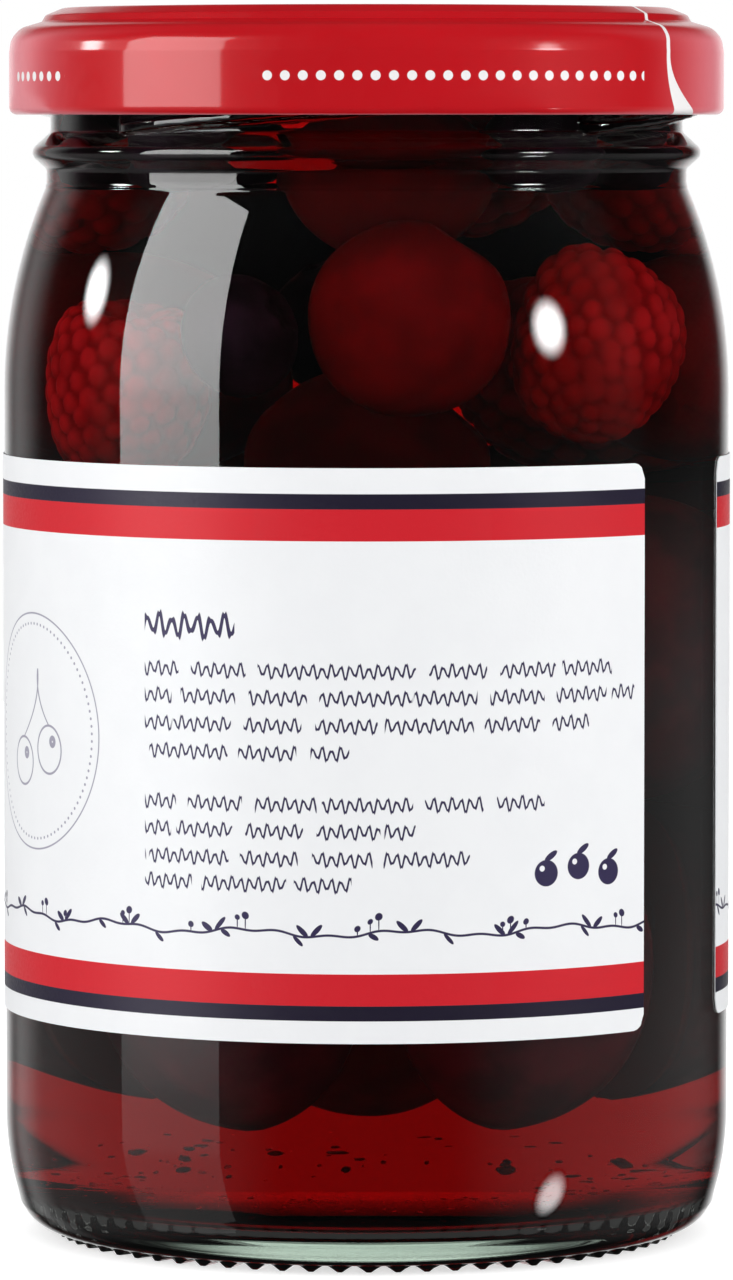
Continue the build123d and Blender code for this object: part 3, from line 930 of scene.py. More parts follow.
    def _text_block(self, bench: Bench, effects: SharedEffects, u: Wire, v: Wire) -> Wire:
        """A heavy heading and two groups of dummy lines, with three bold berries at the lower right."""
        rows = [(*self.heading, *self.heading_pen), *((*row, *self.text_pen) for row in self.text_rows)]
        masks = []
        for height, right, size, weight in rows:
            row = {"U": u, "V": v, "Left": self.text_left, "Right": right, "Height": height}
            masks.append(bench.effect(effects.scribble, **row, Size=size, Weight=weight))
        off, shine_width = self.berry_shine
        leaf_u, leaf_v = self.berry_leaf
        length, width, slant = self.berry_leaf_shape
        for middle_u, middle_v in self.berries:
            skin = {"U": u, "V": v, "Middle_U": middle_u, "Middle_V": middle_v}
            shine = {"U": u, "V": v, "Middle_U": middle_u - off, "Middle_V": middle_v + off}
            whole = bench.effect(effects.ring, **skin, Radius=0.0, Width=2 * self.berry_radius)
            masks.append(whole - bench.effect(effects.ring, **shine, Radius=0.0, Width=shine_width))
            row = {"V": v, "Height": middle_v + self.berry_radius + leaf_v, "Spacing": self.only_once}
            from_leaf = u - (middle_u + leaf_u - self.only_once / 2)
            row |= {"U": from_leaf, "Length": length, "Width": width, "Slant": slant}
            masks.append(bench.effect(effects.leaves, **row))
        return bench.highest(*masks)

    def _vine(self, bench: Bench, effects: SharedEffects, u: Wire, v: Wire) -> Wire:
        """A thin wavy stalk round the label, with leaves, berries on short stems and small buds."""
        slow, quick = (bench.math("SINE", u * pace) * depth for pace, depth in self.vine_waves)
        rise = v - (slow + quick + self.vine_height)
        masks = [bench.ramp(abs(rise), *self.vine_edge)]
        stem_width, stem_slant = self.bud_stem
        for height, spacing, length, width, slant, shift in self.vine_leaves:
            row = {"U": u + shift, "V": rise, "Height": height, "Spacing": spacing}
            masks.append(bench.effect(effects.leaves, **row, Length=length, Width=width, Slant=slant))
        for height, spacing, radius, shift in self.vine_buds:
            row = {"U": u + shift, "V": rise, "Spacing": spacing}
            masks.append(bench.effect(effects.dots, **row, Height=height, Radius=radius))
            row |= {"Height": height / 2, "Length": height / 2}
            masks.append(bench.effect(effects.leaves, **row, Width=stem_width, Slant=stem_slant))
        return bench.highest(*masks)


@dataclass(frozen=True)
class FruitFinish:
    """Skin or flesh of a fruit soaked in rum.

    Attributes:
        name: of the material.
        low: darker colour of its clouds.
        high: lighter colour.
        painted_shade_and_flesh: painted shade, a darker colour, in its clefts; on a plum half, the colour of
            its cut flesh.
        scale: of the clouds, in turns per metre.
        roughness: of the smoothest skin.
        depth: of its fine relief, in metres.
        glow: share of light that passes under the skin.
        glow_colour: how far each of its colours goes, as shares of the reach.
        glow_reach: how far it goes, in metres.
        index: of refraction, low because the syrup leaves little to mirror.
        roughest: roughness of the roughest skin.
    """

    name: str
    low: Colour
    high: Colour
    painted_shade_and_flesh: Colour
    scale: float
    roughness: float
    depth: float = 0.00002
    glow: float = 0.0
    glow_colour: Place = (1.0, 0.15, 0.1)
    glow_reach: float = 0.004
    index: float = 1.03
    roughest: float = 0.6

    def material(self, effects: SharedEffects) -> bpy.types.Material:
        """Builds the finish; the painted shade in the clefts, and a plum's cut flesh, come from the mesh's
        own mark.
        """
        material, bench, shader, _ = new_material(self.name)
        skin = bench.effect(effects.mottle, Scale=self.scale, Detail=4.0, Low=self.low, High=self.high)
        look = {
            # Painted shade in the clefts, and the flesh colour on a plum's cut face, blended in by the mesh's
            # mark.
            "Base Color": bench.blend(bench.mark("painted_shade_and_flesh"), skin, self.painted_shade_and_flesh),
            "Roughness": bench.ramp(bench.noise(700.0), 0.3, 0.7, self.roughness, self.roughest),
            "IOR": self.index,
            "Subsurface Weight": self.glow,
            "Subsurface Radius": self.glow_colour,
            "Subsurface Scale": self.glow_reach,
            "Normal": bench.effect(effects.grain, Scale=900.0, Depth=self.depth, Detail=3.0),
        }
        bench.fill(shader, look)
        return material


# The cleft colours are painted shade, except the plum's, which is its cut flesh.
FRUIT_FINISHES = {
    FruitKind.CHERRY: FruitFinish(
        name="cherry_skin",
        low=(0.18, 0.002, 0.003, 1.0),
        high=(0.30, 0.004, 0.006, 1.0),
        painted_shade_and_flesh=(0.08, 0.001, 0.002, 1.0),
        scale=160.0,
        roughness=0.3,
        glow=0.2,
    ),
    FruitKind.RASPBERRY: FruitFinish(
        name="raspberry_flesh",
        low=(0.52, 0.007, 0.010, 1.0),
        high=(0.92, 0.020, 0.028, 1.0),
        painted_shade_and_flesh=(0.42, 0.005, 0.008, 1.0),
        scale=140.0,
        roughness=0.35,
        depth=0.00003,
        glow=0.3,
    ),
    FruitKind.BLUEBERRY: FruitFinish(
        name="blueberry_skin",
        low=(0.012, 0.005, 0.010, 1.0),
        high=(0.032, 0.014, 0.028, 1.0),
        painted_shade_and_flesh=(0.01, 0.004, 0.008, 1.0),
        scale=220.0,
        roughness=0.45,
    ),
    FruitKind.PLUM_HALF: FruitFinish(
        name="plum_skin",
        low=(0.06, 0.008, 0.018, 1.0),
        high=(0.17, 0.016, 0.032, 1.0),
        painted_shade_and_flesh=(0.34, 0.04, 0.03, 1.0),
        scale=120.0,
        roughness=0.35,
    ),
}


@dataclass
class GlassJar:
    """The jar's glass, turned round the axis, with its threads and its knurled bearing ring.

    Heights and radii in mm; they are the solid model's own.
    """

    height: float = 118.2
    body_radius: float = 35.25
    wall: float = 2.3
    shoulder_arc_radius: float = 50.0
    seam_height: float = 102.1
    seam_width: float = 0.16
    neck_radius: float = 31.1
    finish_radius: float = 30.7
    mouth_radius: float = 28.6
    bead_low: float = 103.7
    bead_crest: float = 105.3
    bead_top: float = 107.3
    bead_radius: float = 32.9
    finish_rounding: tuple[float, ...] = (0.6, 0.9, 0.6, 1.2, 0.9)
    bearing_inner: float = 27.9
    bearing_outer: float = 30.3
    knurl_height: float = 0.6
    knurl_count: int = 69
    knurl_section: tuple[float, ...] = (1.0, 1.0, 0.45, 0.0, 0.0, 0.45)
    push_up_rim: Span = (26.4, 1.9)
    push_up: float = 3.0
    heel_seam: Span = (33.85, 3.2)
    heel_seam_width: float = 0.3
    heel_bulge: float = 0.7
    wall_foot: float = 12.0
    corner_radius: float = 5.5
    corner_height: float = 3.6
    floor_height: float = 5.7
    seam_ridge: float = 0.09
    lead: float = 16.0
    thread_zone: Span = (106.0, 115.5)
    thread_front: float = 109.0
    thread_radius: float = 32.6
    thread_width: float = 1.9
    thread_flanks: Span = (0.26, 0.45)
    thread_start: float = -49.0
    thread_span: float = 112.0
    thread_run_out: float = 11.0
    fill_height: float = 111.4
    longest_edge: float = 6.0

    @property
    def inner_radius(self) -> float:
        """Radius of the inside."""
        return self.body_radius - self.wall

    @property
    def shoulder_height(self) -> float:
        """Where the wall turns into the shoulder."""
        drop = self.shoulder_arc_radius - (self.body_radius - self.neck_radius)
        return self.seam_height - float(np.sqrt(self.shoulder_arc_radius**2 - drop**2))

    @staticmethod
    def tangent_curve(foot_radius: float, step: float, rise: float, levels: np.ndarray) -> np.ndarray:
        """Radii at some levels of an arc that leaves a wall upright and is off by step after rise."""
        radius = (step**2 + rise**2) / (2 * step)
        return foot_radius - radius + np.sqrt(radius**2 - levels**2)

    def shoulder(self, foot_radius: float, top_radius: float, count: int = 26) -> np.ndarray:
        """The shoulder's arc, tangent to the wall at its foot."""
        rise = self.seam_height - self.shoulder_height
        levels = np.linspace(0, rise, count)
        radii = self.tangent_curve(foot_radius, foot_radius - top_radius, rise, levels)
        return np.stack([radii, self.shoulder_height + levels], axis=1)

    def outer_profile(self) -> np.ndarray:
        """From the middle of the underside out over the heel and up to the bore's edge of the rim."""
        rim_radius, rim_height = self.push_up_rim
        dome = np.linspace(0.02, 1, 14)
        under = np.stack([rim_radius * dome, self.push_up - (self.push_up - rim_height) * dome**2], axis=1)
        bearing = np.linspace(self.bearing_inner, self.bearing_outer, 9)
        ring = np.stack([bearing, np.full(len(bearing), self.knurl_height)], axis=1)
        heel = sagging_arc((self.bearing_outer, self.knurl_height), self.heel_seam, self.heel_bulge, 12)[1:]
        rise = self.wall_foot - self.heel_seam[1]
        drops = np.linspace(rise, 0, 12)[1:]
        radii = self.tangent_curve(self.body_radius, self.body_radius - self.heel_seam[0], rise, drops)
        foot = np.stack([radii, self.wall_foot - drops], axis=1)
        shoulder = self.shoulder(self.body_radius, self.neck_radius)
        shoulder = np.concatenate([shoulder[:-2], even_path(shoulder[-2:], 0.07)])
        finish = rounded_path(
            [
                (self.neck_radius, self.seam_height + 0.2),
                (self.neck_radius, self.bead_low),
                (self.bead_radius, self.bead_crest),
                (self.finish_radius, self.bead_top),
                (self.finish_radius, self.height),
                (self.mouth_radius, self.height),
                (self.mouth_radius, self.height - 2.0),
            ],
            list(self.finish_rounding),
        )
        middle = even_path(np.array([foot[-1], shoulder[0]]), self.longest_edge)[1:-1]
        whole = [under, ring, heel, foot, middle, shoulder, even_path(finish, 0.22)]
        return even_path(np.concatenate(whole), self.longest_edge)

    def inner_profile(self, depth: float = 0.0) -> np.ndarray:
        """From the bore down to the middle of the floor, moved into the glass by depth."""
        edge = self.inner_radius - self.corner_radius
        corner = arc((edge, self.corner_height + self.corner_radius), self.corner_radius, 0.0, -90.0, 12)
        shoulder = self.shoulder(self.inner_radius, self.mouth_radius, 18)[::-1]
        share = np.linspace(1, 0.02, 10)[1:]
        rise = self.floor_height - self.corner_height
        floor = np.stack([edge * share, self.floor_height - rise * share**2], axis=1)
        bore = np.array([[self.mouth_radius, self.height - 2.4], [self.mouth_radius, self.seam_height + 0.5]])
        path = np.concatenate([even_path(bore, self.longest_edge / 2), shoulder, corner, floor])
        return shifted_path(even_path(path, self.longest_edge), depth)

    def thread_relief(self, angles: np.ndarray, heights: np.ndarray) -> np.ndarray:
        """How far the threads stand out: a rounded ridge along each helix, faded at its two ends.

        Args:
            angles: of the columns, in radians from the front.
            heights: of the rows.

        Returns:
            The relief by row and column, in mm.
        """
        degrees_round = np.degrees(angles)[None, :]
        relief = np.zeros((len(heights), len(angles)))
        low_flank, high_flank = self.thread_flanks
        for number in range(4):
            along = (degrees_round - self.thread_start - 90.0 * number) % 360.0
            along = np.where(along > 180 + self.thread_span / 2, along - 360, along)
            underside = self.thread_front + self.lead / 360.0 * (along + self.thread_start)
            across = (heights[:, None] - underside) / self.thread_width
            ridge = smooth_step(across / low_flank + 0.1) * smooth_step((1 - across) / high_flank + 0.1)
            ends = np.minimum(along, self.thread_span - along) / self.thread_run_out
            grown = np.sqrt(np.clip(ends, 0, 1)) * (ends > 0)
            relief = np.maximum(relief, ridge * grown)
        return relief * (self.thread_radius - self.finish_radius)

    def surface(self) -> Surface:
        """The closed glass: radius and height by row, with thread relief and knurls added by column."""
        columns = self.knurl_count * len(self.knurl_section)
        angles = full_turn(columns)
        outer = self.outer_profile()
        rows = len(outer)
        profile = np.concatenate([outer, self.inner_profile()])
        outside = np.arange(len(profile)) < rows
        radius = np.repeat(profile[:, :1], columns, axis=1)
        height = np.repeat(profile[:, 1:], columns, axis=1)
        low, high = self.thread_zone
        threaded = outside & (profile[:, 1] > low) & (profile[:, 1] < high)
        threaded &= profile[:, 0] > self.finish_radius - 0.01
        relief = self.thread_relief(angles, profile[threaded, 1])
        radius[threaded] = np.maximum(radius[threaded], self.finish_radius + relief)
        for seam, width in ((self.seam_height, self.seam_width), (self.heel_seam[1], self.heel_seam_width)):
            near = peak(outer[:, 1] - seam, width) * (outer[:, 0] > self.bearing_outer + 0.2)
            radius[:rows] += self.seam_ridge * near[:, None]
        bearing = outside & (np.abs(profile[:, 1] - self.knurl_height) < 1e-6)
        bearing &= profile[:, 0] < self.bearing_outer + 0.01
        height[bearing] -= self.knurl_height * np.tile(self.knurl_section, self.knurl_count)[None, :]
        wetted = (height < self.fill_height) & ~outside[:, None]
        return Surface(turned(radius, height, angles), capped=True, marks={"wetted": wetted.astype(float)})

    def build(self, finish: bpy.types.Material) -> bpy.types.Object:
        """Makes the glass."""
        mesh = self.surface().mesh("jar_glass")
        return piece("jar_glass", [mesh], finish, Body.JAR, ["glass_jar"])


@dataclass
class Syrup:
    """The liquid, which fills the glass to the fill line and reaches a little into the wall."""

    jar: GlassJar
    overlap: float = 0.06
    meniscus: float = 0.5
    meniscus_reach: float = 3.0
    columns: int = 144

    def surface(self) -> Surface:
        """The closed liquid, from the middle of the floor up the wall and back over its level top."""
        level = self.jar.fill_height
        profile = self.jar.inner_profile(self.overlap)[::-1]
        wall = profile[profile[:, 1] < level - 1.0]
        edge = self.jar.mouth_radius + self.overlap
        drop = np.linspace(0, 1, 9)
        curve = [edge - self.meniscus_reach * drop**1.5, level + self.meniscus * (1 - drop) ** 2]
        top = np.stack(curve, axis=1)
        inward = np.array([[20.0, level], [10.0, level], [0.5, level]])
        whole = np.concatenate([wall, np.array([[edge, level - 0.6]]), top, inward])
        return Surface(turned(whole[:, 0], whole[:, 1], full_turn(self.columns)), capped=True)

    def build(self, finish: bpy.types.Material) -> bpy.types.Object:
        """Makes the liquid."""
        mesh = self.surface().mesh("rum_syrup")
        return piece("rum_syrup", [mesh], finish, Body.JAR, ["syrup"])


@dataclass
class Lid:
    """The pressed plate with its raised ring, shoulder, skirt, rolled hem and four lugs."""

    plate: float = 0.22
    top: float = 119.28
    bottom: float = 108.95
    radius: float = 34.7
    panel_drop: float = 0.9
    curl_radius: float = 0.75
    curl_rise: float = 0.5
    lug_angle: float = 18.0
    lug_half_angle: float = 8.0
    lug_reach: float = 31.45
    lug_root: float = 1.4
    lug_fall: float = 0.05
    dent_half_angle: float = 12.5
    dent_height: float = 2.1
    dent_depth: float = 0.34
    dent_gain: float = 1.15
    dented_from: float = 33.0
    columns: int = 360
    outside_rows: int = 12

    def middle_line(self) -> np.ndarray:
        """The plate's middle, from the end of the curl round the hem, up the skirt and in to the centre."""
        half = self.plate / 2
        curl = self.curl_radius - half
        centre = (self.radius - self.curl_radius, self.bottom + self.curl_radius)
        end = np.array([[centre[0] - curl, centre[1] + self.curl_rise]])
        hem = arc(centre, curl, 180.0, 360.0, 15)
        face = rounded_path(
            [
                (self.radius - half, self.bottom + self.curl_radius + 0.05),
                (self.radius - half, self.top - 4.3),
                (34.5 - half, self.top - 2.9 - half),
                (33.6 - half, self.top - 1.93 - half),
                (31.45, self.top - 1.33 - half),
                (31.2 - half, self.top - 0.7 - half),
                (29.4, self.top - half),
                (26.5, self.top - half),
                (24.6, self.top - self.panel_drop - half),
                (0.4, self.top - self.panel_drop - half),
            ],
            [1.7, 1.7, 1.7, 0.35, 0.35, 1.5, 1.2, 1.2],
        )
        return np.concatenate([end, hem, even_path(face, 0.6)[:-1], face[-1:]])

    def surface(self) -> Surface:
        """The closed plate: its middle line moved half the plate's thickness both ways, with the dents."""
        line = self.middle_line()
        inside = shifted_path(line, self.plate / 2)[::-1]
        outside = shifted_path(line, -self.plate / 2)
        profile = np.concatenate([inside, outside])
        angles = np.linspace(-np.pi, np.pi, self.columns + 1)
        radius = profile[:, :1] - self.dent(profile, angles[:-1])
        height = np.repeat(profile[:, 1:], self.columns, axis=1)
        prints = np.stack(np.broadcast_arrays(np.degrees(angles)[None, :], profile[:, 1:]), axis=2)
        return Surface(turned(radius, height, angles[:-1]), capped=True, prints=prints)

    def dent(self, profile: np.ndarray, angles: np.ndarray) -> np.ndarray:
        """How far the skirt is pressed in over each lug: an arch that fades upwards and to both sides."""
        off = (np.degrees(angles) - self.lug_angle + 45.0) % 90.0 - 45.0
        arch = np.sqrt(np.clip(1 - (off / self.dent_half_angle) ** 2, 0, 1))[None, :]
        rise = (profile[:, 1:] - self.bottom) / self.dent_height
        skirt = profile[:, :1] > self.dented_from
        return self.dent_depth * smooth_step(self.dent_gain * arch - rise) * arch * skirt

    def lug(self, jar: GlassJar, angle: float) -> Surface:
        """One lug: a rounded section carried along the thread's underside, narrower to both ends.

        Args:
            jar: whose threads the lug lies under.
            angle: of the lug's middle, in degrees from the front.

        Returns:
            The closed lug.
        """
        share = np.linspace(-1, 1, 25)
        local = self.lug_angle + self.lug_half_angle * share
        top = jar.thread_front + jar.lead / 360.0 * local - self.lug_fall
        root = self.radius - self.lug_root
        reach = root - (root - self.lug_reach) * np.sqrt(1 - (0.97 * share) ** 2)
        turn = full_turn(20)
        box_u = np.sign(np.cos(turn)) * np.abs(np.cos(turn)) ** 0.5
        box_v = np.sign(np.sin(turn)) * np.abs(np.sin(turn)) ** 0.5
        back = self.radius - self.curl_radius
        radii = (back + reach) / 2 + (back - reach) / 2 * box_u[:, None]
        heights = (self.bottom + top) / 2 + (top - self.bottom) / 2 * box_v[:, None]
        degrees_round = angle + self.lug_half_angle * share
        points = np.swapaxes(turned(radii, heights, np.radians(degrees_round)), 0, 1)
        prints = np.broadcast_to([180.0, self.bottom], (points.shape[0], points.shape[1] + 1, 2))
        return Surface(points, capped=True, prints=prints)

    def build(self, jar: GlassJar, lacquer: bpy.types.Material, tin: bpy.types.Material) -> bpy.types.Object:
        """Makes the lid in one piece, lacquered outside and pale inside.

        Args:
            jar: whose threads the lugs lie under.
            lacquer: finish of the outside.
            tin: finish of the inside.

        Returns:
            The lid.
        """
        surface = self.surface()
        shell = surface.mesh("lid_plate")
        angles = [self.lug_angle + 90.0 * number for number in range(4)]
        lugs = [self.lug(jar, angle).mesh(f"lid_lug_{number}") for number, angle in enumerate(angles)]
        thing = piece("lid_plate", [shell, *lugs], lacquer, Body.LID, ["lid_shell"])
        thing.data.materials.append(tin)
        inner_rows = surface.points.shape[0] // 2 - self.outside_rows
        slots = np.zeros(len(thing.data.polygons), dtype=np.int32)
        slots[: inner_rows * self.columns] = 1
        thing.data.polygons.foreach_set("material_index", slots)
        return thing


@dataclass
class SealingRing:
    """The ring of compound in the channel of the lid."""

    low: float = 118.25
    high: float = 119.01
    inner: float = 27.5
    outer: float = 30.4
    corner: float = 29.35
    edge_high: float = 118.60
    rounding: float = 0.12

    def surface(self) -> Surface:
        """The closed ring: its rounded section turned round the axis."""
        start = ((self.inner + self.outer) / 2, self.low)
        corners = [
            start,
            (self.outer, self.low),
            (self.outer, self.edge_high),
            (self.corner, self.high),
            (self.inner, self.high),
            (self.inner, self.low),
            start,
        ]
        line = rounded_path(corners, [self.rounding] * 5, 5)[:-1]
        return Surface(turned(line[:, 0], line[:, 1], full_turn(180)), looped=True)

    def build(self, finish: bpy.types.Material) -> bpy.types.Object:
        """Makes the ring."""
        name = "sealing_compound"
        mesh = self.surface().mesh(name)
        return piece(name, [mesh], finish, Body.SEALING_RING, ["sealing_ring"])


@dataclass
class Label:
    """The paper label, wrapped round the jar with a gap between its ends."""

    radius: float = 35.3
    paper: float = 0.1
    bottom: float = 22.26
    height: float = 53.87
    right_end: float = 48.0
    left_end: float = 72.1
    corner: float = 1.5
    columns: int = 340
    rows: int = 60
    crowding: float = 0.25

    def surface(self) -> Surface:
        """The closed sheet: a flat loop of face and back, carried round the jar, with round corners."""
        start, end = self.left_end - 360.0, self.right_end
        half_turn = (end - start) / 2
        share = self.crowding * np.sin(np.linspace(-np.pi / 2, np.pi / 2, self.columns))
        share = share + (1 - self.crowding) * np.linspace(-1, 1, self.columns)
        angles = np.radians((end + start) / 2 + half_turn * share)
        length = np.radians(half_turn) * self.radius
        from_end = np.clip(self.corner - length * (1 - np.abs(share)), 0, self.corner)
        cut = self.corner - np.sqrt(self.corner**2 - from_end**2)
        rows = np.linspace(-1, 1, self.rows)[:, None]
        half_height = self.height / 2
        heights = self.bottom + half_height + rows * (half_height - cut[None, :])
        face = turned(np.full(heights.shape, self.radius + self.paper), heights, angles)
        back = turned(np.full(heights.shape, self.radius), heights, angles)[::-1]
        points = np.swapaxes(np.concatenate([face, back]), 0, 1)[:, ::-1]
        lengths = (angles * (self.radius + self.paper))[:, None]
        levels = np.concatenate([points[..., 2], points[:, :1, 2]], axis=1)
        prints = np.stack(np.broadcast_arrays(lengths, levels), axis=2)
        return Surface(points, capped=True, prints=prints, crease_angle=50.0)

    def build(self, finish: bpy.types.Material) -> bpy.types.Object:
        """Makes the label."""
        mesh = self.surface().mesh("wrap_label")
        return piece("wrap_label", [mesh], finish, Body.JAR, ["label"])


def ball(rows: int, columns: int) -> tuple[np.ndarray, np.ndarray]:
    """Directions over a ball, from the bottom up, without its two poles.

    Args:
        rows: of points between the poles.
        columns: of points round the ball.

    Returns:
        The unit directions by row and column, and each row's rise from -90 to 90 degrees in radians.
    """
    rise = np.linspace(-np.pi / 2, np.pi / 2, rows + 2)[1:-1]
    return turned(np.cos(rise), np.sin(rise), full_turn(columns)), rise


class FruitShape:
    """A kind of fruit round its own middle; the tilts are its solids' own, in the order of their numbers."""

    tilts: tuple[float, ...] = ()

    def surface(self, seed: int) -> Surface:
        """The fruit, which differs a little by its seed."""
        raise NotImplementedError

    def lie(self, number: int, middle: np.ndarray) -> tuple[float, np.ndarray]:
        """The direction in degrees that a fruit faces, and its middle, from its solid's box."""
        off_axis = np.hypot(middle[0], middle[1]) > 1
        return (np.degrees(np.arctan2(middle[0], -middle[1])) if off_axis else 0.0), middle


@dataclass(frozen=True)
class Cherry(FruitShape):
    """A ball, a little flat, with the stem's dimple on top and a shallow crease down one side."""

    tilts: tuple[float, ...] = (35.0, 70.0, -40.0, 15.0, 50.0, 50.0, 50.0, 50.0)
    width: float = 17.8
    fullness: float = 0.985
    lump: float = 0.006
    crease_turn: float = 0.6
    crease_width: float = 0.12
    crease_depth: float = 0.02
    painted_crease_shade: float = 0.25
    dimple_width: float = 0.27
    dimple_depth: float = 0.17

    def surface(self, seed: int) -> Surface:
        """The fruit, which differs a little by its seed."""
        directions, rise = ball(44, 72)
        turn = np.arctan2(directions[..., 0], -directions[..., 1])
        crease = peak(turn - self.crease_turn, self.crease_width) * np.clip(np.cos(rise), 0, 1)[:, None]
        dimple = peak(np.pi / 2 - rise, self.dimple_width)[:, None]
        lumps = self.lump * (np.sin(3 * turn + seed) + np.sin(5 * rise + 2 * seed)[:, None])
        scale = self.fullness + lumps - self.crease_depth * crease - self.dimple_depth * dimple
        points = directions * self.width / 2 * scale[..., None]
        # Painted shade: darker colour in the stem's dimple and, at a share, in the crease.
        painted_shade_and_flesh = np.clip(dimple + self.painted_crease_shade * crease, 0, 1)
        return Surface(points, capped=True, marks={"painted_shade_and_flesh": painted_shade_and_flesh})


@dataclass(frozen=True)
class Raspberry(FruitShape):
    """A blunt cone of small round drupelets, which lie on a spiral with golden-angle steps."""

    tilts: tuple[float, ...] = (8.0, 35.0, 9.0, 6.0, -5.0, 4.0)
    width: float = 16.4
    length: float = 19.0
    bluntness: float = 2.6
    foot_share: float = 0.86
    taper_reach: float = 1.4
    drupelets: int = 168
    drupelet_radius: float = 1.27
    drupelet_scatter: float = 0.3
    drupelet_spread: Span = (-0.17, 0.14)
    drupelet_relief: float = 0.55
    painted_shade_gain: float = 1.15
    hollow_width: float = 0.42
    hollow_depth: float = 0.6

    def girth(self, level: np.ndarray) -> np.ndarray:
        """Radii in mm at some levels, which go from -1 at the foot to 1."""
        rounded = np.sqrt(np.clip(1 - np.abs(level) ** self.bluntness, 0, 1))
        taper = self.foot_share + (1 - self.foot_share) * smooth_step((level + 1) / self.taper_reach)
        return self.width / 2 * rounded * taper

    def surface(self, seed: int) -> Surface:
        """The fruit; its seed moves and sizes the drupelets."""
        _, rise = ball(96, 144)
        level = np.sin(rise)
        base = turned(self.girth(level), self.length / 2 * level, full_turn(144))
        number = np.arange(self.drupelets) + 0.5
        seed_level = -1 + 2 * number / self.drupelets
        spiral = GOLDEN_ANGLE * number + seed
        girth = self.girth(seed_level)
        height = self.length / 2 * seed_level
        seeds = np.stack([girth * np.sin(spiral), -girth * np.cos(spiral), height], axis=1)
        chance = np.random.default_rng(seed)
        seeds += chance.uniform(-self.drupelet_scatter, self.drupelet_scatter, seeds.shape)
        spreads = self.drupelet_radius * (1 + chance.uniform(*self.drupelet_spread, self.drupelets))
        flat = base.reshape(-1, 3)
        squares = (flat**2).sum(1)[:, None] - 2 * flat @ seeds.T + (seeds**2).sum(1)[None, :]
        shares = (np.maximum(squares, 0) / spreads**2).min(axis=1).reshape(base.shape[:2])
        dome = np.sqrt(np.clip(1 - shares, 0, 1))
        length = np.linalg.norm(base, axis=2)
        hollow = peak(np.pi / 2 - rise, self.hollow_width)[:, None]
        shrink = 1 - self.drupelet_relief * (1 - dome) / np.maximum(length, 1) - self.hollow_depth * hollow
        # Painted shade: darker colour between the drupelets and in the hollow at the top.
        painted_shade_and_flesh = np.clip(1 - dome * self.painted_shade_gain, 0, 1) + hollow
        return Surface(base * shrink[..., None], capped=True, marks={"painted_shade_and_flesh": np.clip(painted_shade_and_flesh, 0, 1)})


@dataclass(frozen=True)
class Blueberry(FruitShape):
    """A flattened ball with a five-lobed crown round a shallow cup."""

    tilts: tuple[float, ...] = (60.0, 15.0, 25.0, -50.0, 70.0, 35.0, -20.0)
    width: float = 11.6
    length: float = 10.2
    fullness: float = 0.98
    crown_reach: float = 0.42
    crown_lobe: float = 0.06
    rim_width: float = 0.08
    rim_height: float = 0.035
    cup_edge: float = 0.12
    cup_depth: float = 0.14
    painted_cup_shade: float = 0.8

    def surface(self, seed: int) -> Surface:
        """The fruit, whose crown is turned by its seed."""
        directions, rise = ball(44, 60)
        turn = np.arctan2(directions[..., 0], -directions[..., 1])
        inside = self.crown_reach + self.crown_lobe * np.cos(5 * turn + seed) - (np.pi / 2 - rise)[:, None]
        cup = smooth_step(inside / self.cup_edge)
        scale = 1 + self.rim_height * peak(inside, self.rim_width) - self.cup_depth * cup
        size = np.array([self.width, self.width, self.length]) / 2
        points = directions * size * scale[..., None] * self.fullness
        # Painted shade: darker colour in the crown's cup.
        return Surface(points, capped=True, marks={"painted_shade_and_flesh": self.painted_cup_shade * cup})


@dataclass(frozen=True)
class PlumHalf(FruitShape):
    """Half a plum: its outline is a cubic curve turned half round, and the cut has the stone's hollow."""

    tilts: tuple[float, ...] = (6.0, -5.0, 4.0, -7.0, 6.0, -5.0, 4.0, -7.0)
    angles: tuple[float, ...] = (0.0, 90.0, 184.0, 289.0, 38.0, 128.0, 222.0, 327.0)
    off_axis: float = 19.65
    width: float = 26.0
    length: float = 30.0
    end_share: float = 0.82
    stone_width: float = 9.0
    stone_length: float = 19.0
    fullness: float = 0.985
    lump: float = 0.006
    groove_turn: float = 0.1
    groove_width: float = 0.07
    groove_depth: float = 0.022
    skin_half_angle: float = 86.0
    cut_share: float = 0.965
    cut_edge: float = 0.12
    cut_depth: float = 0.25

    def lie(self, number: int, middle: np.ndarray) -> tuple[float, np.ndarray]:
        """The direction in degrees that a half faces, and the middle of the whole plum."""
        angle = self.angles[number - 1]
        turn = np.radians(angle)
        middle[:2] = self.off_axis * np.sin(turn), -self.off_axis * np.cos(turn)
        return angle, middle

    def surface(self, seed: int) -> Surface:
        """The half, which differs a little by its seed."""
        share = np.linspace(0, 1, 60)[1:-1]
        girth = (2 * self.width * share * (1 - share))[:, None]
        end = self.length / 2
        handle = 3 * self.end_share * end * share * (1 - share)
        level = (end * (share**3 - (1 - share) ** 3) + handle * (2 * share - 1))[:, None]
        turn = np.radians(np.linspace(-self.skin_half_angle, self.skin_half_angle, 54))
        groove = self.groove_depth * peak(turn - self.groove_turn, self.groove_width)
        lumps = self.lump * np.abs(np.sin(3 * turn[None, :] + 4 * share[:, None] + seed))
        radius = girth * (self.fullness - groove * np.sin(np.pi * share)[:, None] - lumps)
        across = girth * self.cut_share * np.cos(np.linspace(self.cut_edge, np.pi - self.cut_edge, 40))
        inside = 1 - (2 * across / self.stone_width) ** 2 - (2 * level / self.stone_length) ** 2
        hollow = self.stone_width / 2 * np.sqrt(np.clip(inside, 0, 1))
        x = np.concatenate([radius * np.sin(turn), across], axis=1)
        y = np.concatenate([-radius * np.cos(turn), -self.cut_depth - hollow], axis=1)
        points = np.stack([x, y, np.broadcast_to(level, x.shape)], axis=2)
        marks = np.concatenate([np.zeros(radius.shape), np.ones(across.shape)], axis=1)
        return Surface(points, capped=True, marks={"painted_shade_and_flesh": marks})


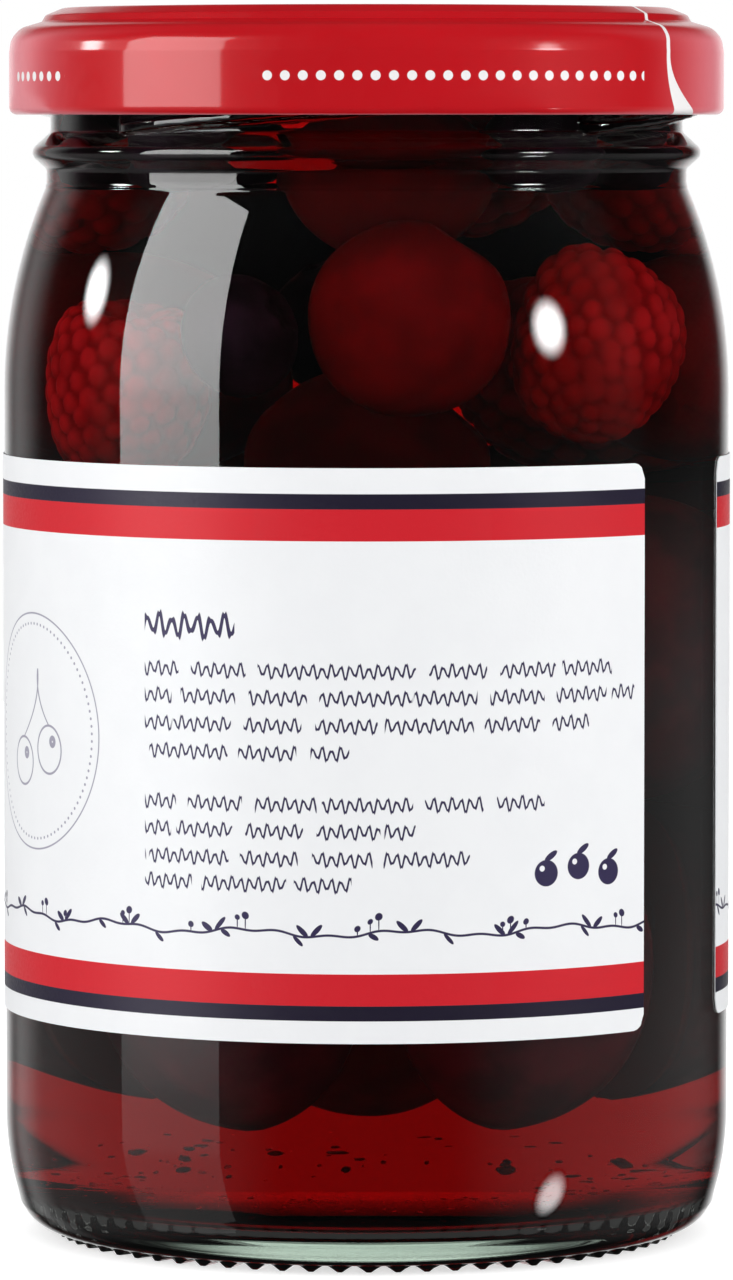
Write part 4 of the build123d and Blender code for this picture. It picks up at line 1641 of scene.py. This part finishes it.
@dataclass
class Filling:
    """The fruit in the jar, each piece where its solid lies, and the shreds below them."""

    shapes: dict[FruitKind, FruitShape] = field(
        default_factory=lambda: {
            FruitKind.CHERRY: Cherry(),
            FruitKind.RASPBERRY: Raspberry(),
            FruitKind.BLUEBERRY: Blueberry(),
            FruitKind.PLUM_HALF: PlumHalf(),
        }
    )

    def placed(self, kind: FruitKind, number: int) -> Surface:
        """A fruit where its solid lies, turned to face outwards and tilted as the solid is."""
        low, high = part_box(f"{kind.value}_{number}")
        shape = self.shapes[kind]
        angle, middle = shape.lie(number, (np.array(low) + np.array(high)) / 2 / MM)
        tilt = Matrix.Rotation(np.radians(shape.tilts[number - 1]), 3, "Y")
        turned_by = Matrix.Rotation(np.radians(angle), 3, "Z") @ tilt
        surface = shape.surface(number)
        surface.points = surface.points @ np.array(turned_by).T + middle
        return surface

    def build(self, effects: SharedEffects, names: list[str]) -> int:
        """Makes every fruit that the frame has, and the shreds below them.

        Args:
            effects: the shared node groups.
            names: the names of the frame's nodes.

        Returns:
            How many were made.
        """
        made = 0
        materials = {kind: finish.material(effects) for kind, finish in FRUIT_FINISHES.items()}
        for kind, finish in FRUIT_FINISHES.items():
            for number in range(1, sum(name.startswith(kind.value + "_") for name in names) + 1):
                node = f"{kind.value}_{number}"
                mesh = self.placed(kind, number).mesh(f"{node}_fruit")
                piece(f"{node}_fruit", [mesh], materials[kind], Body.JAR, [node])
                made += 1
        Pulp().build(materials[FruitKind.RASPBERRY])
        return made


@dataclass
class Pulp:
    """Shreds of fruit that have sunk to the bottom of the syrup.

    Attributes:
        count: number of shreds.
        sizes: the smallest and the largest radius, in mm.
        flatness: their length, width and height as shares of the radius.
        unevenness: of their skins, as a share.
        reach: how far from the axis they lie, in mm.
        inner_share: the inner edge of where they lie, as a share of the area within reach.
        low: the lowest height, near the bottom's valley.
        rise: how far up most of them lie.
        spread: of their heights, as a share of the rise.
        high: the height that none lies over.
        seed: of their places.
    """

    count: int = 320
    sizes: Span = (0.09, 0.6)
    flatness: Place = (1.0, 0.45, 0.2)
    unevenness: float = 0.35
    reach: float = 30.8
    inner_share: float = 0.25
    low: float = 5.9
    rise: float = 1.7
    spread: float = 0.45
    high: float = 16.0
    seed: int = 7

    def mesh(self) -> bpy.types.Mesh:
        """Small flat lumps, scattered and turned by arrays."""
        chance = np.random.default_rng(self.seed)
        directions, _ = ball(5, 10)
        rows, columns = directions.shape[:2]
        poles = np.array([[0.0, 0.0, -1.0], [0.0, 0.0, 1.0]])
        points = np.concatenate([directions.reshape(-1, 3), poles])
        size = np.exp(chance.uniform(*np.log(self.sizes), (self.count, 1))) * np.array([self.flatness])
        lumps = 1 + self.unevenness * chance.uniform(-1, 1, (self.count, len(points), 1))
        shaped = points[None] * lumps * size[:, None, :]
        heading = chance.uniform(0, np.pi, self.count)
        cosine, sine = np.cos(heading)[:, None], np.sin(heading)[:, None]
        away = self.reach * np.sqrt(chance.uniform(self.inner_share, 1, self.count))
        place = chance.uniform(0, 2 * np.pi, self.count)
        height = np.minimum(self.low + self.rise * chance.exponential(self.spread, self.count), self.high)
        x = shaped[..., 0] * cosine - shaped[..., 1] * sine + (away * np.sin(place))[:, None]
        y = shaped[..., 0] * sine + shaped[..., 1] * cosine - (away * np.cos(place))[:, None]
        z = shaped[..., 2] + height[:, None]
        steps = (np.arange(self.count) * len(points))[:, None, None]
        faces = []
        for part in (Surface(directions).faces(), *cap_fans(rows, columns, rows * columns)):
            faces += (part[None] + steps).reshape(-1, part.shape[1]).tolist()
        mesh = smooth_mesh("fruit_pulp", np.stack([x, y, z], axis=2).reshape(-1, 3), faces)
        mesh.attributes.new("painted_shade_and_flesh", "FLOAT", "POINT")
        return mesh

    def build(self, finish: bpy.types.Material) -> bpy.types.Object:
        """Makes the shreds."""
        return piece("fruit_pulp", [self.mesh()], finish, Body.JAR, [])


def hidden_from_camera(thing: bpy.types.Object) -> None:
    """Keeps a lamp or a sheet of light out of the camera's sight and out of what glass lets through."""
    thing.visible_camera = False
    thing.visible_transmission = False


@dataclass(frozen=True)
class Spot:
    """A small round or oval glow that only reflections show.

    Attributes:
        name: of its sheet.
        place: of its middle, in metres.
        radii: level and upright, in metres.
        strength: its radiance in the middle.
    """

    name: str
    place: Place
    radii: Span
    strength: float


@dataclass
class Studio:
    """A white sweep with a tall soft lamp at each side and sheets of light that only reflections show.

    Places and lengths are in metres. A pair named edge, sides, behind, fade or under holds the two ends of a
    soft change, in metres on the floor and as a direction's share elsewhere.
    """

    camera_place: Place = (0.0, -0.769, 0.10885)
    camera_pitch: float = 3.8
    lens: float = 222.0
    sensor_width: float = 36.0
    floor_radius: float = 0.7
    floor_points: int = 96
    floor_white: Colour = (0.8, 0.8, 0.8, 1.0)
    floor_glow: float = 0.6
    # Seen through the glass the floor is a painted glow that fades with distance, dimmed to a painted shadow
    # round the jar's foot.
    floor_painted_glow: float = 0.62
    floor_painted_glow_fade: Span = (0.15, 0.38)
    floor_under_painted_shadow: Span = (0.034, 0.055)
    floor_under_painted_shadow_dim: float = 0.05
    fill_strength: float = 0.85
    mirrored_dim: float = 0.02
    table_glow: float = 0.25
    table_sides: Span = (0.4, 0.95)
    table_edge: Span = (-0.03, -0.085)
    let_through_dim: float = 0.95
    let_through_behind: float = 0.01
    front_edge: Span = (0.0, 0.3)
    overhead: float = 2.0
    overhead_edge: Span = (0.3, 0.7)
    sheet_edge: Span = (0.86, 0.99)
    left_sheet_glow: float = 0.45
    left_sheet_sides: Span = (-0.35, -0.6)
    left_sheet_behind: Span = (0.55, 0.8)
    tall_lamp: Place = (-1.103, -0.521, 0.12)
    right_lamp: Place = (1.121, -0.481, 0.12)
    lamp_size: Span = (0.8, 1.9)
    lamp_power: float = 10.0
    lamp_aim: Place = (0.0, 0.0, 0.06)
    panel_levels: tuple[float, ...] = (-0.83, -0.25, -0.137, -0.05, 0.035, 0.12, 0.3, 1.07)
    panel_strengths: tuple[float, ...] = (0.5, 0.6, 0.9, 2.7, 5.3, 6.8, 7.5, 7.5)
    spot_core: float = 0.3
    spots: tuple[Spot, ...] = (
        Spot("right_spot", (1.131, -0.653, 0.365), (0.17, 0.16), 30.0),
        Spot("low_spot", (1.16, -0.59, -0.56), (0.14, 0.23), 11.0),
        Spot("left_streak", (-1.14, 0.18, 0.37), (0.14, 0.13), 26.0),
    )

    def camera(self) -> None:
        """A long lens, tipped down a little, as the photograph was taken."""
        data = bpy.data.cameras.new("camera")
        data.lens = self.lens
        data.sensor_width = self.sensor_width
        thing = shown("camera", data)
        thing.location = self.camera_place
        thing.rotation_euler = (np.radians(90.0 - self.camera_pitch), 0.0, 0.0)
        bpy.context.scene.camera = thing

    def lamp(self, name: str, place: Place) -> None:
        """A soft rectangular lamp that faces the jar's middle and that nothing mirrors."""
        data = bpy.data.lights.new(name, "AREA")
        data.shape = "RECTANGLE"
        data.size, data.size_y = self.lamp_size
        data.energy = self.lamp_power
        thing = shown(name, data)
        thing.location = place
        aim = Vector(self.lamp_aim) - Vector(place)
        thing.rotation_euler = aim.to_track_quat("-Z", "Y").to_euler()
        hidden_from_camera(thing)
        thing.visible_glossy = False

    def reflector(self, name: str, surface: Surface, strength: float) -> None:
        """A glowing sheet that only reflections show; its mark says how bright each point is.

        Args:
            name: of the sheet.
            surface: its points in millimetres and its mark "glow".
            strength: radiance where the mark is 1.
        """
        thing = shown(name, surface.mesh(name))
        material = bpy.data.materials.new(name)
        material.use_nodes = True
        material.node_tree.nodes.clear()
        bench = Bench(material.node_tree)
        light = bench.fill(bench.node("ShaderNodeEmission"), {"Strength": bench.mark("glow") * strength})
        bench.feed(bench.node("ShaderNodeOutputMaterial").inputs["Surface"], light)
        thing.data.materials.append(material)
        hidden_from_camera(thing)
        thing.visible_diffuse = False

    def across(self, place: Place) -> tuple[np.ndarray, np.ndarray]:
        """The middle in millimetres of a sheet that faces the axis, and its level direction."""
        middle = np.array(place) / MM
        return middle, np.array([-middle[1], middle[0], 0.0]) / np.hypot(middle[0], middle[1])

    def panel(self) -> None:
        """What the glass mirrors at the left: a tall even sheet that is darker towards its foot."""
        middle, level = self.across(self.tall_lamp)
        aside = np.linspace(-0.5, 0.5, 12) * self.lamp_size[0] / MM
        heights = np.linspace(self.panel_levels[0], self.panel_levels[-1], 160)
        glow = np.interp(heights, self.panel_levels, self.panel_strengths)
        points = np.repeat(middle + aside[None, :, None] * level, len(heights), axis=0)
        points[..., 2] = heights[:, None] / MM
        marks = {"glow": np.repeat(glow[:, None], len(aside), axis=1)}
        self.reflector("tall_panel", Surface(points, around=False, marks=marks), 1.0)

    def soft_spot(self, spot: Spot) -> None:
        """An oval sheet that fades to its rim."""
        middle, level = self.across(spot.place)
        share = np.linspace(0.02, 1, 24)[:, None, None]
        turn = full_turn(48)[None, :, None]
        aside = spot.radii[0] / MM * np.cos(turn) * level
        up = spot.radii[1] / MM * np.sin(turn) * np.array([0.0, 0.0, 1.0])
        glow = 1 - smooth_step((share[..., 0] - self.spot_core) / (1 - self.spot_core))
        marks = {"glow": np.repeat(glow, turn.size, axis=1)}
        self.reflector(spot.name, Surface(middle + share * (aside + up), marks=marks), spot.strength)

    def world(self) -> None:
        """White where the camera sees it; in glass and reflections white behind the jar and dim before it."""
        world = bpy.data.worlds.new("studio")
        world.use_nodes = True
        world.node_tree.nodes.clear()
        bench = Bench(world.node_tree)
        path = bench.node("ShaderNodeLightPath")
        kinds = ("Camera", "Glossy", "Transmission")
        seen, glossy, through = (bench.out(path, f"Is {kind} Ray") for kind in kinds)
        split = bench.node("ShaderNodeSeparateXYZ")
        bench.fill(split, {0: bench.out(bench.node("ShaderNodeTexCoord"), "Generated")})
        x, y, z = (bench.out(split, axis) for axis in "XYZ")
        behind = bench.ramp(y, *self.sheet_edge, self.mirrored_dim, 1.0)
        table = bench.ramp(abs(x), *self.table_sides) * bench.ramp(z, *self.table_edge, 0.0, self.table_glow)
        left = bench.ramp(x, *self.left_sheet_sides, 0.0, self.left_sheet_glow)
        mirrored = behind + left * bench.ramp(y, *self.left_sheet_behind) + table
        above = bench.ramp(z, *self.overhead_edge, self.let_through_dim, self.overhead)
        let_through = bench.ramp(y, *self.front_edge, 1.0, 0.0) * above + self.let_through_behind
        soft = (1.0 - bench.highest(seen, glossy, through)) * self.fill_strength
        strength = through * let_through + glossy * mirrored + seen + soft
        light = bench.fill(bench.node("ShaderNodeBackground"), {"Color": WHITE, "Strength": strength})
        bench.feed(bench.node("ShaderNodeOutputWorld").inputs["Surface"], light)
        bpy.context.scene.world = world

    def floor(self) -> None:
        """A round white floor, which glows where it is seen so that only the jar's soft shadow is left; seen
        through the glass it is black, with a painted glow that fades with distance and a painted shadow round
        the jar's foot.
        """
        turn = full_turn(self.floor_points)
        rim = np.stack([np.cos(turn), np.sin(turn), np.zeros(len(turn))], axis=1) * self.floor_radius
        mesh = bpy.data.meshes.new("floor")
        mesh.from_pydata(rim.tolist(), [], [list(range(len(turn)))])
        thing = shown("floor", mesh)
        material, bench, shader, _ = new_material("floor_paper")
        path = bench.node("ShaderNodeLightPath")
        seen, through = (bench.out(path, f"Is {kind} Ray") for kind in ("Camera", "Transmission"))
        measured = bench.node("ShaderNodeVectorMath", operation="LENGTH")
        bench.fill(measured, {0: bench.place()})
        away = bench.out(measured, "Value")
        # Painted shadow: the glow seen through the glass is dimmed close round the jar's foot.
        under = bench.ramp(away, *self.floor_under_painted_shadow, self.floor_under_painted_shadow_dim, 1.0)
        # Painted glow seen through the glass, fading with distance from the jar's axis.
        lit = bench.ramp(away, *self.floor_painted_glow_fade, 1.0, 0.0) * under
        look = {
            # Seen through the glass the floor's own colour is black, so it shows only the painted glow.
            "Base Color": bench.blend(through, self.floor_white, BLACK),
            "Roughness": 1.0,
            "Specular IOR Level": 0.0,
            "Emission Color": WHITE,
            "Emission Strength": seen * self.floor_glow + through * lit * self.floor_painted_glow,
        }
        bench.fill(shader, look)
        mesh.materials.append(material)
        thing.visible_glossy = False

    def build(self) -> None:
        """Sets up the whole studio."""
        self.camera()
        self.world()
        self.floor()
        self.lamp("left_lamp", self.tall_lamp)
        self.lamp("right_lamp", self.right_lamp)
        self.panel()
        for spot in self.spots:
            self.soft_spot(spot)
        bpy.context.scene.view_settings.view_transform = "Standard"


def main() -> None:
    """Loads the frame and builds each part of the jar."""
    logging.basicConfig(level=logging.INFO, format="%(message)s")
    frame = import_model()
    effects = SharedEffects()
    jar = GlassJar()
    jar.build(GlassFinish().material(effects))
    Syrup(jar).build(SyrupFinish().material())
    Lid().build(jar, LacquerFinish().material(effects), LID_INSIDE.material(effects))
    SealingRing().build(SEALING_COMPOUND.material(effects))
    Label().build(PaperFinish().material(effects))
    count = Filling().build(effects, list(frame["nodes"]))
    log.info("fruit: %d", count)
    Studio().build()


if __name__ == "__main__":
    main()
